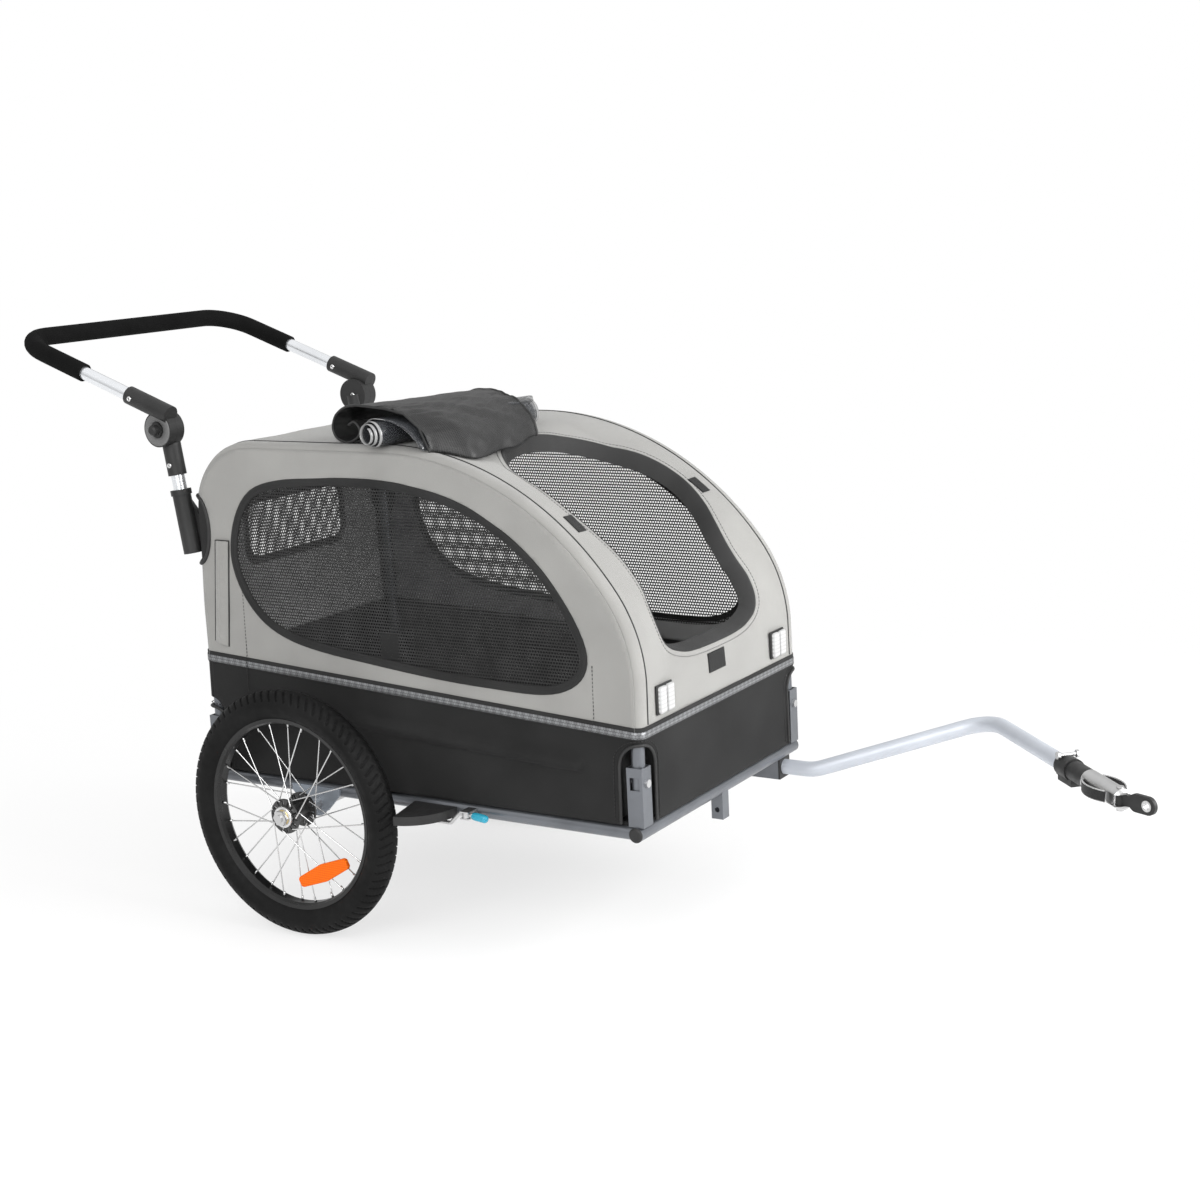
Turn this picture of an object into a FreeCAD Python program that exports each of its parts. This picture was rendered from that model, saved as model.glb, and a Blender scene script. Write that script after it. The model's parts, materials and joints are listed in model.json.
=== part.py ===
import FreeCAD, Part
import math
import os

# A two-wheeled dog trailer for a bicycle: tube frame, hooped cloth cabin, laced wheels, push handle, tow arm.
# Millimetres. +X is forward, towards the bicycle, +Y is the trailer's left and +Z is up.
# Sizes are laid out from the floor under the middle of the axle. The finished pieces are then moved along X,
# so that the origin lies on the floor under the middle of the whole part.
V = FreeCAD.Vector
X_AXIS = V(1, 0, 0)
Y_AXIS = V(0, 1, 0)
Z_AXIS = V(0, 0, 1)
RIGHT = -1
LEFT = 1

# Clearances
SEAM_GAP = 0.2
FRAME_GAP = 0.3
RUN_FIT = 0.05
WELD_GAP = 0.02
FAR = 900.0

# Wheels
WHEEL_D = 400.0
TYRE_W = 44.0
BEAD_ANGLE = 145.0
TYRE_BANDS = 14
TRACK_Y = 314.0
RIM_D = 312.0
RIM_DEPTH = 9.2
RIM_W = 26.0
RIM_BED_W = 14.0
HUB_L = 54.0
HUB_BARREL_D = 34.0
HUB_FLANGE_D = 56.0
HUB_FLANGE_T = 3.0
HUB_FLANGE_Y = 20.0
HUB_SLOT_W = 3.0
HUB_SLOT_IN_R = 18.5
HUB_SLOT_OUT_R = 25.5
SPOKE_D = 2.0
SPOKE_CIRCLE_R = 24.0
SPOKES_PER_FLANGE = 14
LACING_STEPS = 4
SPOKE_BEND = 1.2
RIM_SPOKE_Y = 3.0
BEARING_D = 28.0
BEARING_W = 8.0
AXLE_D = 12.0
AXLE_NUT_W = 22.0
AXLE_NUT_T = 8.0
AXLE_END = 3.0
REFLECTOR_L = 92.0
REFLECTOR_H = 24.0
REFLECTOR_T = 7.0
REFLECTOR_R = 108.0
REFLECTOR_ANGLE = -52.0
REFLECTOR_TURN = 25.0

# Base frame
RAIL_D = 22.0
TUBE_WALL = 1.5
WHEEL_SET_OUT = 71.0
RAIL_Z = 222.0
PLUG_T = 4.0
PLUG_L = 12.0
BRACKET_W = 26.0
BRACKET_WALL = 2.0
BRACKET_H = 89.0
BRACKET_WINDOW_W = 16.0
BRACKET_WINDOW_H = 19.0
PIVOT_Z = 298.0
PIVOT_BOLT_D = 6.0
BOLT_HEAD_D = 12.0
BOLT_HEAD_T = 4.0
STAND_W = 20.0
STAND_WALL = 2.0
STAND_LOW_Z = 173.0
STAND_HOLE_Z = 188.0
STAND_HOLE_D = 8.4
GUSSET_T = 4.0
GUSSET_L = 96.0
GUSSET_FOOT_D = 44.0
FLOOR_T = 6.0
FLOOR_EDGE_GAP = 4.0

# Cabin, as the outline of its cloth seen from the side
REAR_X = -220.0
FRONT_X = 607.0
ROOF_Z = 775.0
BROW_TURN = 53.49
REAR_R = 115.0
BROW_R = 500.0
NOSE_R = 230.0
CLOTH_T = 2.2
COVER_LOW_Z = 235.0
STRIP_FRONT_Z = 371.0
STRIP_REAR_Z = 422.0
STRIP_H = 24.0
STRIP_T = 1.0
HOOP_D = 20.0
HOOP_SET_IN = 4.0
HOOP_LEAN_IN = 12.0
HOOP_FOOT_Z = 272.0
ROOF_BAR_D = 14.0
ROOF_BAR_X = (-80.0, 120.0)
CORNER_CUT_R = 28.0
MESH_T = 1.0
BINDING_W = 18.0
BINDING_T = 1.2
WINDOW_REAR_X = -144.0
WINDOW_FRONT_X = 518.0
WINDOW_TOP_Z = 720.0
WINDOW_LOW_Z = 420.0
REAR_WINDOW_W = 300.0
REAR_WINDOW_LOW_Z = 490.0
REAR_WINDOW_H = 170.0
REAR_WINDOW_R = 50.0
ENTRANCE_W = 316.0
ENTRANCE_LOW_Z = 455.0
ENTRANCE_REAR_X = 210.0
ENTRANCE_R = 55.0
FRONT_LAMP_W = 42.0
FRONT_LAMP_H = 40.0
FRONT_LAMP_T = 8.0
FRONT_LAMP_SET_IN = 58.0
FRONT_LAMP_Z = 413.0
ROLL_REAR_X = 60.0
ROLL_FRONT_X = 256.0
ROLL_NEAR_IN = 5.0
ROLL_L = 266.0
ROLL_SKEW = 12.0
ROLL_H = 58.0
ROLL_T = 4.0
VINYL_X = 164.0
VINYL_R = 20.0
VINYL_T = 2.0
VINYL_PITCH = 8.0
VINYL_HALF_TURNS = 4
VINYL_PROUD = 24.0

# Push handle
JOINT_X = -263.0
JOINT_Z = 796.0
JOINT_D = 57.0
JOINT_SET_OUT = 11.0
JOINT_HALF_T = 16.0
JOINT_SPIGOT_D = 14.0
JOINT_SPIGOT_L = 10.0
ARM_D = 22.0
ARM_ANGLE = 20.0
ARM_OFFSET = 30.0
ARM_REACH = 341.0
ARM_BEND_R = 65.0
GRIP_D = 30.0
GRIP_START = 181.0
SLEEVE_D = 30.0
SLEEVE_REACH = 77.0
STUB_SET_OUT = 2.0
STUB_LEAN = 8.2
SOCKET_D = 30.0
SOCKET_COLLAR_D = 34.0
SOCKET_COLLAR_L = 9.0
SOCKET_TOP = 101.0
SOCKET_L = 105.0
SOCKET_FLOOR = 8.0
SOCKET_WEB_T = 8.0
SOCKET_CUT_R = 22.0
BUTTON_D = 16.0
BUTTON_L = 18.0
BUTTON_PROUD = 12.0
BUTTON_TRAVEL = 5.0
BEZEL_D = 24.0
BEZEL_T = 3.0

# Wheel guards and parking brakes
GUARD_L = 80.0
GUARD_W = 80.0
GUARD_H = 14.0
GUARD_T = 3.0
GUARD_REAR_X = 196.0
GUARD_TIP_X = 214.0
BRAKE_X = 306.0
BRAKE_SET_IN = 42.0
BRAKE_PIN_D = 5.0
BRAKE_ROD_D = 6.0
BRAKE_PLATE_T = 2.0
BRAKE_EYE_D = 12.0
BRAKE_EYE_H = 8.0
BRAKE_PLATE_L = 16.0
BRAKE_DROP = 16.0
BRAKE_ARM = 120.0
BRAKE_TIP = 40.0
BRAKE_GRIP_D = 11.0
BRAKE_GRIP_L = 28.0
BRAKE_PAD_D = 14.0
BRAKE_PAD_L = 12.0

# Tow arm and hitch
RECEIVER_W = 36.0
RECEIVER_WALL = 2.0
RECEIVER_REAR_X = 430.0
RECEIVER_FRONT_X = 592.0
RECEIVER_SET_IN = 19.0
BUSH_L = 55.0
BUSH_FLANGE_T = 3.0
TOW_D = 25.0
TOW_WALL = 2.0
TOW_FOOT_X = 440.0
TOW_RISE_X = 649.0
TOW_ELBOW = (919.0, 317.0, 280.0)
TOW_BEND_R = 70.0
TOW_TURN = 46.0
TOW_PIN_D = 8.0
TOW_PIN_X = 507.0
HITCH_START = 262.0
HITCH_SLEEVE_D = 34.0
HITCH_SLEEVE_L = 84.0
HITCH_STEP_D = 30.0
HITCH_CLAMP_L = 34.0
HITCH_BLOCK_H = 22.0
HITCH_BLOCK_W = 20.0
TOW_INSERT = 40.0
COUPLER_D = 31.0
COUPLER_L = 104.0
COUPLER_SPIGOT_D = 16.0
COUPLER_SPIGOT_L = 30.0
FORK_L = 26.0
FORK_GAP = 17.0
FORK_PIN_BACK = 12.0
FORK_PIN_D = 6.0
TONGUE_TURN = 23.0
TONGUE_L = 62.0
TONGUE_H = 26.0
TONGUE_T = 6.0
TONGUE_NECK = 16.0
EYE_BACK = 14.0
EYE_D = 10.5
EYELET_D = 16.0
EYELET_LIP = 1.0
STRAP_W = 16.0
STRAP_T = 2.0
STRAP_BOW = 9.0

# Values worked out from the driving sizes
AXLE_Z = WHEEL_D / 2
RAIL_R = RAIL_D / 2
RAIL_TOP_Z = RAIL_Z + RAIL_R
RAIL_Y = TRACK_Y - WHEEL_SET_OUT
HOOP_FOOT_Y = RAIL_Y - HOOP_SET_IN
HOOP_TOP_Y = HOOP_FOOT_Y - HOOP_LEAN_IN
ROOF_FLAT_X = FRONT_X - NOSE_R - (BROW_R - NOSE_R) * math.sin(math.radians(BROW_TURN))
FRONT_LAMP_Y = HOOP_FOOT_Y - FRONT_LAMP_SET_IN
ROLL_NEAR_Y = ROLL_NEAR_IN - HOOP_TOP_Y
ROLL_CREST_X = ROLL_REAR_X + (ROLL_FRONT_X - ROLL_REAR_X) / 4
JOINT_Y = HOOP_FOOT_Y + JOINT_SET_OUT
ARM_Y = JOINT_Y + JOINT_HALF_T / 2
STUB_Y = HOOP_FOOT_Y + STUB_SET_OUT
BRAKE_Y = TRACK_Y - BRAKE_SET_IN
RECEIVER_Y = RAIL_Y - RECEIVER_SET_IN
CABIN_LEAN = math.atan((HOOP_FOOT_Y - HOOP_TOP_Y) / (ROOF_Z - PIVOT_Z))
HOOP_INSET = CLOTH_T + FRAME_GAP + HOOP_D / 2
POST_X = (REAR_X + HOOP_INSET, FRONT_X - HOOP_INSET)
CABIN_FOOT_Y = HOOP_FOOT_Y + HOOP_INSET
CROSS_HALF = RAIL_Y + RAIL_R


# Plain helpers
def box(low, high):
    """A box between two corners."""
    size = V(*high) - V(*low)
    return Part.makeBox(size.x, size.y, size.z, V(*low))


def rod(start, end, diameter):
    """A round bar from one point to another."""
    start = V(*start)
    run = V(*end) - start
    return Part.makeCylinder(diameter / 2, run.Length, start, run)


def ring(start, end, outer_d, inner_d):
    """A round tube from one point to another."""
    return rod(start, end, outer_d).cut(rod(start, end, inner_d))


def prism(points, direction):
    """A flat outline of straight sides, pushed out along a vector."""
    corners = [V(*p) for p in points]
    return Part.Face(Part.makePolygon(corners + corners[:1])).extrude(V(*direction))


def fuse(shapes):
    """One solid from several that meet."""
    whole = shapes[0]
    for shape in shapes[1:]:
        whole = whole.fuse(shape)
    return whole.removeSplitter()


def mirrored(shape):
    """The same piece on the other side of the trailer."""
    return shape.mirror(V(0, 0, 0), Y_AXIS)


def both_sides(shape):
    """A right-hand piece and its left-hand twin, as separate solids."""
    return Part.makeCompound([shape, mirrored(shape)])


def bent_path(points, radius):
    """Straight runs joined by tangent arcs of one radius."""
    corners = [V(*p) for p in points]
    edges = []
    start = corners[0]
    for before, corner, after in zip(corners, corners[1:], corners[2:]):
        run_in = (corner - before).normalize()
        run_out = (after - corner).normalize()
        half_turn = run_in.getAngle(run_out) / 2
        reach = radius * math.tan(half_turn)
        arc_start = corner - run_in * reach
        arc_end = corner + run_out * reach
        inward = (run_out - run_in).normalize()
        middle = corner + inward * (radius / math.cos(half_turn) - radius)
        edges.append(Part.LineSegment(start, arc_start).toShape())
        edges.append(Part.Arc(arc_start, middle, arc_end).toShape())
        start = arc_end
    edges.append(Part.LineSegment(start, corners[-1]).toShape())
    return Part.Wire(edges)


def swept(path, diameter):
    """A round bar along a path of straight runs and arcs."""
    runs = []
    for edge in path.OrderedEdges:
        start = edge.valueAt(edge.FirstParameter)
        along = edge.tangentAt(edge.FirstParameter)
        disc = Part.Face(Part.Wire(Part.makeCircle(diameter / 2, start, along)))
        if isinstance(edge.Curve, Part.Circle):
            turn = math.degrees(edge.LastParameter - edge.FirstParameter)
            runs.append(disc.revolve(edge.Curve.Center, edge.Curve.Axis, turn))
        else:
            runs.append(disc.extrude(along * edge.Length))
    return fuse(runs)


def bent_tube(path, outer_d, inner_d):
    """A round tube along a smooth path."""
    return swept(path, outer_d).cut(swept(path, inner_d))


def hexagon(centre, across, thickness):
    """A nut blank on the Y axis, starting at a point."""
    radius = across / math.sqrt(3)
    turns = [math.radians(60 * k) for k in range(6)]
    points = [(centre[0] + radius * math.cos(t), centre[1], centre[2] + radius * math.sin(t)) for t in turns]
    return prism(points, (0, thickness, 0))


def rim_edges(shape, axis, way):
    """The round edge at one end of a bar along an axis."""
    rounds = [edge for edge in shape.Edges if edge.Closed]
    rounds.sort(key=lambda edge: edge.CenterOfMass.dot(axis) * way)
    return rounds[-1:]


def solids_on(shape, side):
    """The solids of a shape that lie on one side of the trailer."""
    return Part.makeCompound([s for s in shape.Solids if s.CenterOfMass.y * side > 0])


# Wheels, made about the Y axis and then put in place on the right
def line(start, end):
    return Part.LineSegment(V(*start), V(*end)).toShape()


def arc(start, middle, end):
    return Part.Arc(V(*start), V(*middle), V(*end)).toShape()


def polygon_turned(points):
    """A full turn of a straight-sided section about the Y axis. Each point is a radius and a Y."""
    sides = [line(a + (0,), b + (0,)) for a, b in zip(points, points[1:] + points[:1])]
    return Part.Face(Part.Wire(sides)).revolve(V(0, 0, 0), Y_AXIS, 360)


def tyre():
    """A tyre of oval section in flat bands, cut off where its beads sit on the rim."""
    bead = math.radians(BEAD_ANGLE)
    crown_r = WHEEL_D / 2
    height = (crown_r - RIM_D / 2 - SEAM_GAP) / (1 - math.cos(bead))
    middle_r = crown_r - height
    turns = [bead * (2 * k / TYRE_BANDS - 1) for k in range(TYRE_BANDS + 1)]
    return polygon_turned([(middle_r + height * math.cos(t), TYRE_W / 2 * math.sin(t)) for t in turns])


def rim():
    """A box-section rim, narrower at its spoke bed."""
    outer = RIM_D / 2
    inner = outer - RIM_DEPTH
    waist = inner + RIM_DEPTH / 3
    return polygon_turned([
        (inner, -RIM_BED_W / 2), (waist, -RIM_W / 2 + 1), (outer, -RIM_W / 2),
        (outer, RIM_W / 2), (waist, RIM_W / 2 - 1), (inner, RIM_BED_W / 2),
    ])


def hub():
    """A hub shell with two slotted flanges and a seat for a bearing at each end."""
    shell = rod((0, -HUB_L / 2, 0), (0, HUB_L / 2, 0), HUB_BARREL_D)
    for y in (-HUB_FLANGE_Y, HUB_FLANGE_Y):
        shell = shell.fuse(rod((0, y - HUB_FLANGE_T / 2, 0), (0, y + HUB_FLANGE_T / 2, 0), HUB_FLANGE_D))
    shell = shell.cut(rod((0, -HUB_L, 0), (0, HUB_L, 0), AXLE_D + 2 * BEZEL_T))
    seat_d = BEARING_D + 2 * WELD_GAP
    for end in (-1, 1):
        shell = shell.cut(rod((0, end * (HUB_L / 2 - BEARING_W), 0), (0, end * HUB_L, 0), seat_d))
    slot = box((HUB_SLOT_IN_R, -HUB_L, -HUB_SLOT_W / 2), (HUB_SLOT_OUT_R, HUB_L, HUB_SLOT_W / 2))
    step = 360.0 / SPOKES_PER_FLANGE
    slots = [slot.rotated(V(0, 0, 0), Y_AXIS, (k + 0.25) * step) for k in range(SPOKES_PER_FLANGE)]
    return shell.cut(Part.makeCompound(slots))


def around(radius, angle, y):
    """A point on a circle about the Y axis, its angle in degrees up from forward."""
    turn = math.radians(angle)
    return (radius * math.cos(turn), y, radius * math.sin(turn))


def beside_flange():
    """How far a spoke that lies against a flange is from the flange's middle."""
    return HUB_FLANGE_T / 2 + SPOKE_D / 2 + WELD_GAP


def spokes():
    """Crossed spokes: every other one leads, outside its flange, and the rest trail, inside it."""
    step = 360.0 / SPOKES_PER_FLANGE
    sweep = LACING_STEPS * step / 2
    rim_r = RIM_D / 2 - RIM_DEPTH - SEAM_GAP
    wires = []
    for flange in (-1, 1):
        for k in range(SPOKES_PER_FLANGE):
            lead = 1 if k % 2 == 0 else -1
            angle = step * (k + (0.5 if flange > 0 else 0))
            offset = beside_flange() + SPOKE_BEND if lead > 0 else -beside_flange()
            start = around(SPOKE_CIRCLE_R, angle, flange * (HUB_FLANGE_Y + offset))
            end = around(rim_r, angle + lead * sweep, flange * RIM_SPOKE_Y)
            wires.append(rod(start, end, SPOKE_D))
    return Part.makeCompound(wires)


def bearings():
    """A bearing ring in each end of the hub."""
    rings = []
    for end in (-1, 1):
        inner = (0, end * (HUB_L / 2 - BEARING_W), 0)
        outer = (0, end * HUB_L / 2, 0)
        rings.append(ring(inner, outer, BEARING_D, AXLE_D + 2 * RUN_FIT))
    return Part.makeCompound(rings)


def spoke_reflector():
    """A long reflector with round ends, clipped against the outer spokes."""
    half = (REFLECTOR_L - REFLECTOR_H) / 2
    reach = (REFLECTOR_R - REFLECTOR_H / 2 - SPOKE_CIRCLE_R) / (RIM_D / 2 - RIM_DEPTH - SPOKE_CIRCLE_R)
    outside = HUB_FLANGE_Y + beside_flange() + SPOKE_BEND
    spoke_y = outside + (RIM_SPOKE_Y - outside) * reach
    face_y = -(spoke_y + SPOKE_D / 2 + SEAM_GAP)
    bar = box((-half, face_y - REFLECTOR_T, -REFLECTOR_H / 2), (half, face_y, REFLECTOR_H / 2))
    ends = [rod((x, face_y - REFLECTOR_T, 0), (x, face_y, 0), REFLECTOR_H) for x in (-half, half)]
    plate = fuse([bar] + ends).rotated(V(0, 0, 0), Y_AXIS, -REFLECTOR_TURN)
    return plate.translated(V(*around(REFLECTOR_R, REFLECTOR_ANGLE, 0)))


def wheel_pieces():
    """The right wheel's pieces in place, by name."""
    made = {"tyre": tyre(), "rim": rim(), "hub": hub(), "spokes": spokes(),
            "bearings": bearings(), "reflector": spoke_reflector()}
    seat = V(0, -TRACK_Y, AXLE_Z)
    return {name: shape.translated(seat) for name, shape in made.items()}


def wheel_axles():
    """A stub axle for each wheel, held in the end of the axle beam."""
    inner_y = -(CROSS_HALF - RAIL_D)
    outer_y = -(TRACK_Y + HUB_L / 2 + AXLE_NUT_T + AXLE_END)
    return both_sides(rod((0, inner_y, AXLE_Z), (0, outer_y, AXLE_Z), AXLE_D))


def beam_end_y():
    """Where the axle beam stops, one nut short of the hub."""
    return TRACK_Y - HUB_L / 2 - AXLE_NUT_T - 2 * FRAME_GAP


def axle_nuts():
    """A lock nut on each side of each hub, with a hair of end float."""
    inner_y = -(TRACK_Y - HUB_L / 2 - FRAME_GAP)
    outer_y = -(TRACK_Y + HUB_L / 2 + FRAME_GAP + AXLE_NUT_T)
    bore = rod((0, -FAR, AXLE_Z), (0, FAR, AXLE_Z), AXLE_D + 2 * WELD_GAP)
    nuts = [hexagon((0, y, AXLE_Z), AXLE_NUT_W, AXLE_NUT_T).cut(bore) for y in (inner_y, outer_y)]
    return both_sides(Part.makeCompound(nuts))


# Base frame
def cross_tube(x):
    """A tube across the frame, with open ends for the plugs."""
    ends = ((x, -CROSS_HALF, RAIL_Z), (x, CROSS_HALF, RAIL_Z))
    return ring(*ends, RAIL_D, RAIL_D - 2 * TUBE_WALL)


def cross_tubes():
    return Part.makeCompound([cross_tube(x) for x in POST_X])


def side_rail():
    """The right rail, with its ends shaped to sit against the cross tubes."""
    ends = ((POST_X[0], -RAIL_Y, RAIL_Z), (POST_X[1], -RAIL_Y, RAIL_Z))
    rail = ring(*ends, RAIL_D, RAIL_D - 2 * TUBE_WALL)
    for x in POST_X:
        rail = rail.cut(rod((x, -FAR, RAIL_Z), (x, FAR, RAIL_Z), RAIL_D + 2 * WELD_GAP))
    return rail


def end_plugs():
    """Black plugs in the four ends of the cross tubes, with a domed head."""
    plugs = []
    bore = RAIL_D - 2 * TUBE_WALL - 2 * WELD_GAP
    for x in POST_X:
        inner = -CROSS_HALF + PLUG_L
        head = rod((x, -CROSS_HALF, RAIL_Z), (x, -CROSS_HALF - PLUG_T, RAIL_Z), RAIL_D)
        head = head.makeChamfer(PLUG_T / 2, rim_edges(head, Y_AXIS, -1))
        plugs.append(fuse([head, rod((x, -CROSS_HALF, RAIL_Z), (x, inner, RAIL_Z), bore)]))
    return both_sides(Part.makeCompound(plugs))


def hinge_brackets():
    """Square sockets over the ends of the cross tubes, with a window in the outer face and bolt holes."""
    half = BRACKET_W / 2
    inner = half - BRACKET_WALL
    top = RAIL_TOP_Z + BRACKET_H
    made = []
    for x in POST_X:
        y = -HOOP_FOOT_Y
        post = box((x - half, y - half, RAIL_TOP_Z), (x + half, y + half, top))
        post = post.cut(box((x - inner, y - inner, RAIL_TOP_Z + BRACKET_WALL), (x + inner, y + inner, FAR)))
        low = PIVOT_Z - BRACKET_WINDOW_H / 2
        window = box((x - BRACKET_WINDOW_W / 2, y - BRACKET_W, low),
                     (x + BRACKET_WINDOW_W / 2, y, low + BRACKET_WINDOW_H))
        hole = rod((x - BRACKET_W, y, PIVOT_Z), (x + BRACKET_W, y, PIVOT_Z), PIVOT_BOLT_D + 2 * RUN_FIT)
        made.append(post.cut(window).cut(hole))
    return both_sides(Part.makeCompound(made))


def hinge_bolts():
    """A bolt through each bracket and hoop foot, with a head at one end and a nut at the other."""
    made = []
    for x in POST_X:
        y = -HOOP_FOOT_Y
        half = BRACKET_W / 2
        shank = rod((x - half - BOLT_HEAD_T, y, PIVOT_Z), (x + half + BOLT_HEAD_T, y, PIVOT_Z), PIVOT_BOLT_D)
        heads = [rod((x + end * half, y, PIVOT_Z), (x + end * (half + BOLT_HEAD_T), y, PIVOT_Z), BOLT_HEAD_D)
                 for end in (-1, 1)]
        made.append(fuse([shank] + heads))
    return both_sides(Part.makeCompound(made))


def stand_bracket():
    """A square tube hung under the front cross tube, with a pin hole, for a front wheel or a stand."""
    x = POST_X[1]
    half = STAND_W / 2
    inner = half - STAND_WALL
    post = box((x - half, -half, STAND_LOW_Z), (x + half, half, RAIL_Z))
    post = post.cut(box((x - inner, -inner, 0), (x + inner, inner, RAIL_Z)))
    post = post.cut(rod((x, -FAR, RAIL_Z), (x, FAR, RAIL_Z), RAIL_D + 2 * WELD_GAP))
    return post.cut(rod((x, -STAND_W, STAND_HOLE_Z), (x, STAND_W, STAND_HOLE_Z), STAND_HOLE_D))


def axle_beam():
    """A thick tube under the rails that carries the stub axles."""
    end = beam_end_y()
    z = RAIL_Z - RAIL_D
    return ring((0, -end, z), (0, end, z), RAIL_D - 2 * WELD_GAP, AXLE_D + 2 * WELD_GAP)


def axle_brackets():
    """Gusset plates from the axle beam up to the rails."""
    y = -(CROSS_HALF + WELD_GAP)
    half = GUSSET_L / 2
    foot = GUSSET_FOOT_D / 2
    plate = prism([(-half, y, RAIL_Z + foot / 4), (half, y, RAIL_Z + foot / 4), (half, y, RAIL_Z - foot / 4),
                   (foot, y, AXLE_Z - foot / 2), (-foot, y, AXLE_Z - foot / 2), (-half, y, RAIL_Z - foot / 4)],
                  (0, -GUSSET_T, 0))
    round_foot = rod((0, y, AXLE_Z), (0, y - GUSSET_T, AXLE_Z), GUSSET_FOOT_D)
    return both_sides(fuse([plate, round_foot]).cut(rod((0, -FAR, AXLE_Z), (0, FAR, AXLE_Z), RAIL_D)))


def floor_panel():
    """A floor board on the rails, notched round the corner brackets."""
    edge = HOOP_FOOT_Y + BRACKET_W / 2 - FLOOR_EDGE_GAP
    low = RAIL_TOP_Z + WELD_GAP
    ends = (REAR_X + CLOTH_T + FLOOR_EDGE_GAP, FRONT_X - CLOTH_T - FLOOR_EDGE_GAP)
    board = box((ends[0], -edge, low), (ends[1], edge, low + FLOOR_T))
    reach = BRACKET_W / 2 + FLOOR_EDGE_GAP
    for x in POST_X:
        for side in (RIGHT, LEFT):
            y = side * HOOP_FOOT_Y
            board = board.cut(box((x - reach, y - reach, 0), (x + reach, y + reach, FAR)))
    return board


# Cabin frame and cloth
def side_outline(inset, low_z):
    """The cabin's outline from the rear foot, over the roof, to the front foot, as edges in the XZ plane."""
    top = ROOF_Z - inset
    rear_c = (REAR_X + REAR_R, ROOF_Z - REAR_R)
    brow_c = (ROOF_FLAT_X, ROOF_Z - BROW_R)
    turn = math.radians(BROW_TURN)
    nose_c = (brow_c[0] + (BROW_R - NOSE_R) * math.sin(turn), brow_c[1] + (BROW_R - NOSE_R) * math.cos(turn))

    def on_arc(centre, radius, angle):
        reach = radius - inset
        return V(centre[0] + reach * math.sin(angle), 0, centre[1] + reach * math.cos(angle))

    rear = [on_arc(rear_c, REAR_R, -math.pi / 2 * part) for part in (1, 0.5, 0)]
    brow = [on_arc(brow_c, BROW_R, turn * part) for part in (0, 0.5, 1)]
    nose = [on_arc(nose_c, NOSE_R, turn + (math.pi / 2 - turn) * part) for part in (0, 0.5, 1)]
    return [
        Part.LineSegment(V(REAR_X + inset, 0, low_z), rear[0]).toShape(),
        Part.Arc(*rear).toShape(),
        Part.LineSegment(rear[2], V(ROOF_FLAT_X, 0, top)).toShape(),
        Part.Arc(*brow).toShape(),
        Part.Arc(*nose).toShape(),
        Part.LineSegment(nose[2], V(FRONT_X - inset, 0, low_z)).toShape(),
    ]


def outline_prism(inset, low_z):
    """Everything inside the side outline, right across the trailer."""
    edges = side_outline(inset, low_z)
    edges.append(line((FRONT_X - inset, 0, low_z), (REAR_X + inset, 0, low_z)))
    face = Part.Face(Part.Wire(edges))
    return face.extrude(V(0, 2 * FAR, 0)).translated(V(0, -FAR, 0))


def between_sides(inset):
    """Everything between the two leaning side walls."""
    room = box((-FAR, -FAR, 0), (FAR, FAR, 2 * FAR))
    for side in (RIGHT, LEFT):
        wall = box((-FAR, 0, -FAR), (FAR, FAR, FAR))
        if side == RIGHT:
            wall = wall.translated(V(0, -FAR, 0))
        wall = wall.rotated(V(0, 0, 0), X_AXIS, side * math.degrees(CABIN_LEAN))
        room = room.cut(wall.translated(V(0, side * (CABIN_FOOT_Y - inset), PIVOT_Z)))
    return room


def strip_z(x):
    """Height of the reflective strip's middle, which drops towards the front."""
    return STRIP_FRONT_Z + (STRIP_REAR_Z - STRIP_FRONT_Z) * (FRONT_X - x) / (FRONT_X - REAR_X)


def strip_band(below, above):
    """A sloping slab about the strip's middle."""
    points = [(-FAR, -FAR, strip_z(-FAR) - below), (FAR, -FAR, strip_z(FAR) - below),
              (FAR, -FAR, strip_z(FAR) + above), (-FAR, -FAR, strip_z(-FAR) + above)]
    return prism(points, (0, 2 * FAR, 0))


def closed_curve(points):
    """A smooth closed curve through points."""
    curve = Part.BSplineCurve()
    curve.interpolate(points, True)
    return curve


def grown(curve, offset, count):
    """A closed curve in an XZ plane, run clockwise, moved outwards by an offset."""
    points = []
    for k in range(count):
        at = curve.FirstParameter + (curve.LastParameter - curve.FirstParameter) * k / count
        along = curve.tangent(at)[0]
        points.append(curve.value(at) + V(-along.z, 0, along.x) * offset)
    return closed_curve(points)


def window_prism(offset):
    """The side window's shape, right across the trailer."""
    rear, front, top, low = WINDOW_REAR_X, WINDOW_FRONT_X, WINDOW_TOP_Z, WINDOW_LOW_Z
    length = front - rear
    height = top - low
    shares = [(0, 0.62), (0.07, 0.92), (0.27, 1), (0.53, 0.985), (0.74, 0.85), (0.91, 0.56), (1, 0.2),
              (0.93, 0.02), (0.72, 0.01), (0.44, 0.06), (0.17, 0.15), (0.045, 0.33)]
    points = [V(rear + length * x, -FAR, low + height * z) for x, z in shares]
    edge = grown(closed_curve(points), offset, 2 * len(points)).toShape()
    return Part.Face(Part.Wire(edge)).extrude(V(0, 2 * FAR, 0))


def rounded_prism(low, high, radius, offset, axis):
    """A rounded rectangle in the plane across an axis, pushed out along it both ways."""
    (a0, b0), (a1, b1) = low, high
    slab = Part.makeBox(a1 - a0 + 2 * offset, b1 - b0 + 2 * offset, 2 * FAR, V(a0 - offset, b0 - offset, -FAR))
    slab = slab.makeFillet(radius + offset, [e for e in slab.Edges if e.tangentAt(0).isEqual(Z_AXIS, 1e-6)
                                             or e.tangentAt(0).isEqual(-Z_AXIS, 1e-6)])
    if axis == X_AXIS:
        return slab.rotated(V(0, 0, 0), V(1, 1, 1), 120)
    return slab


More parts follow.
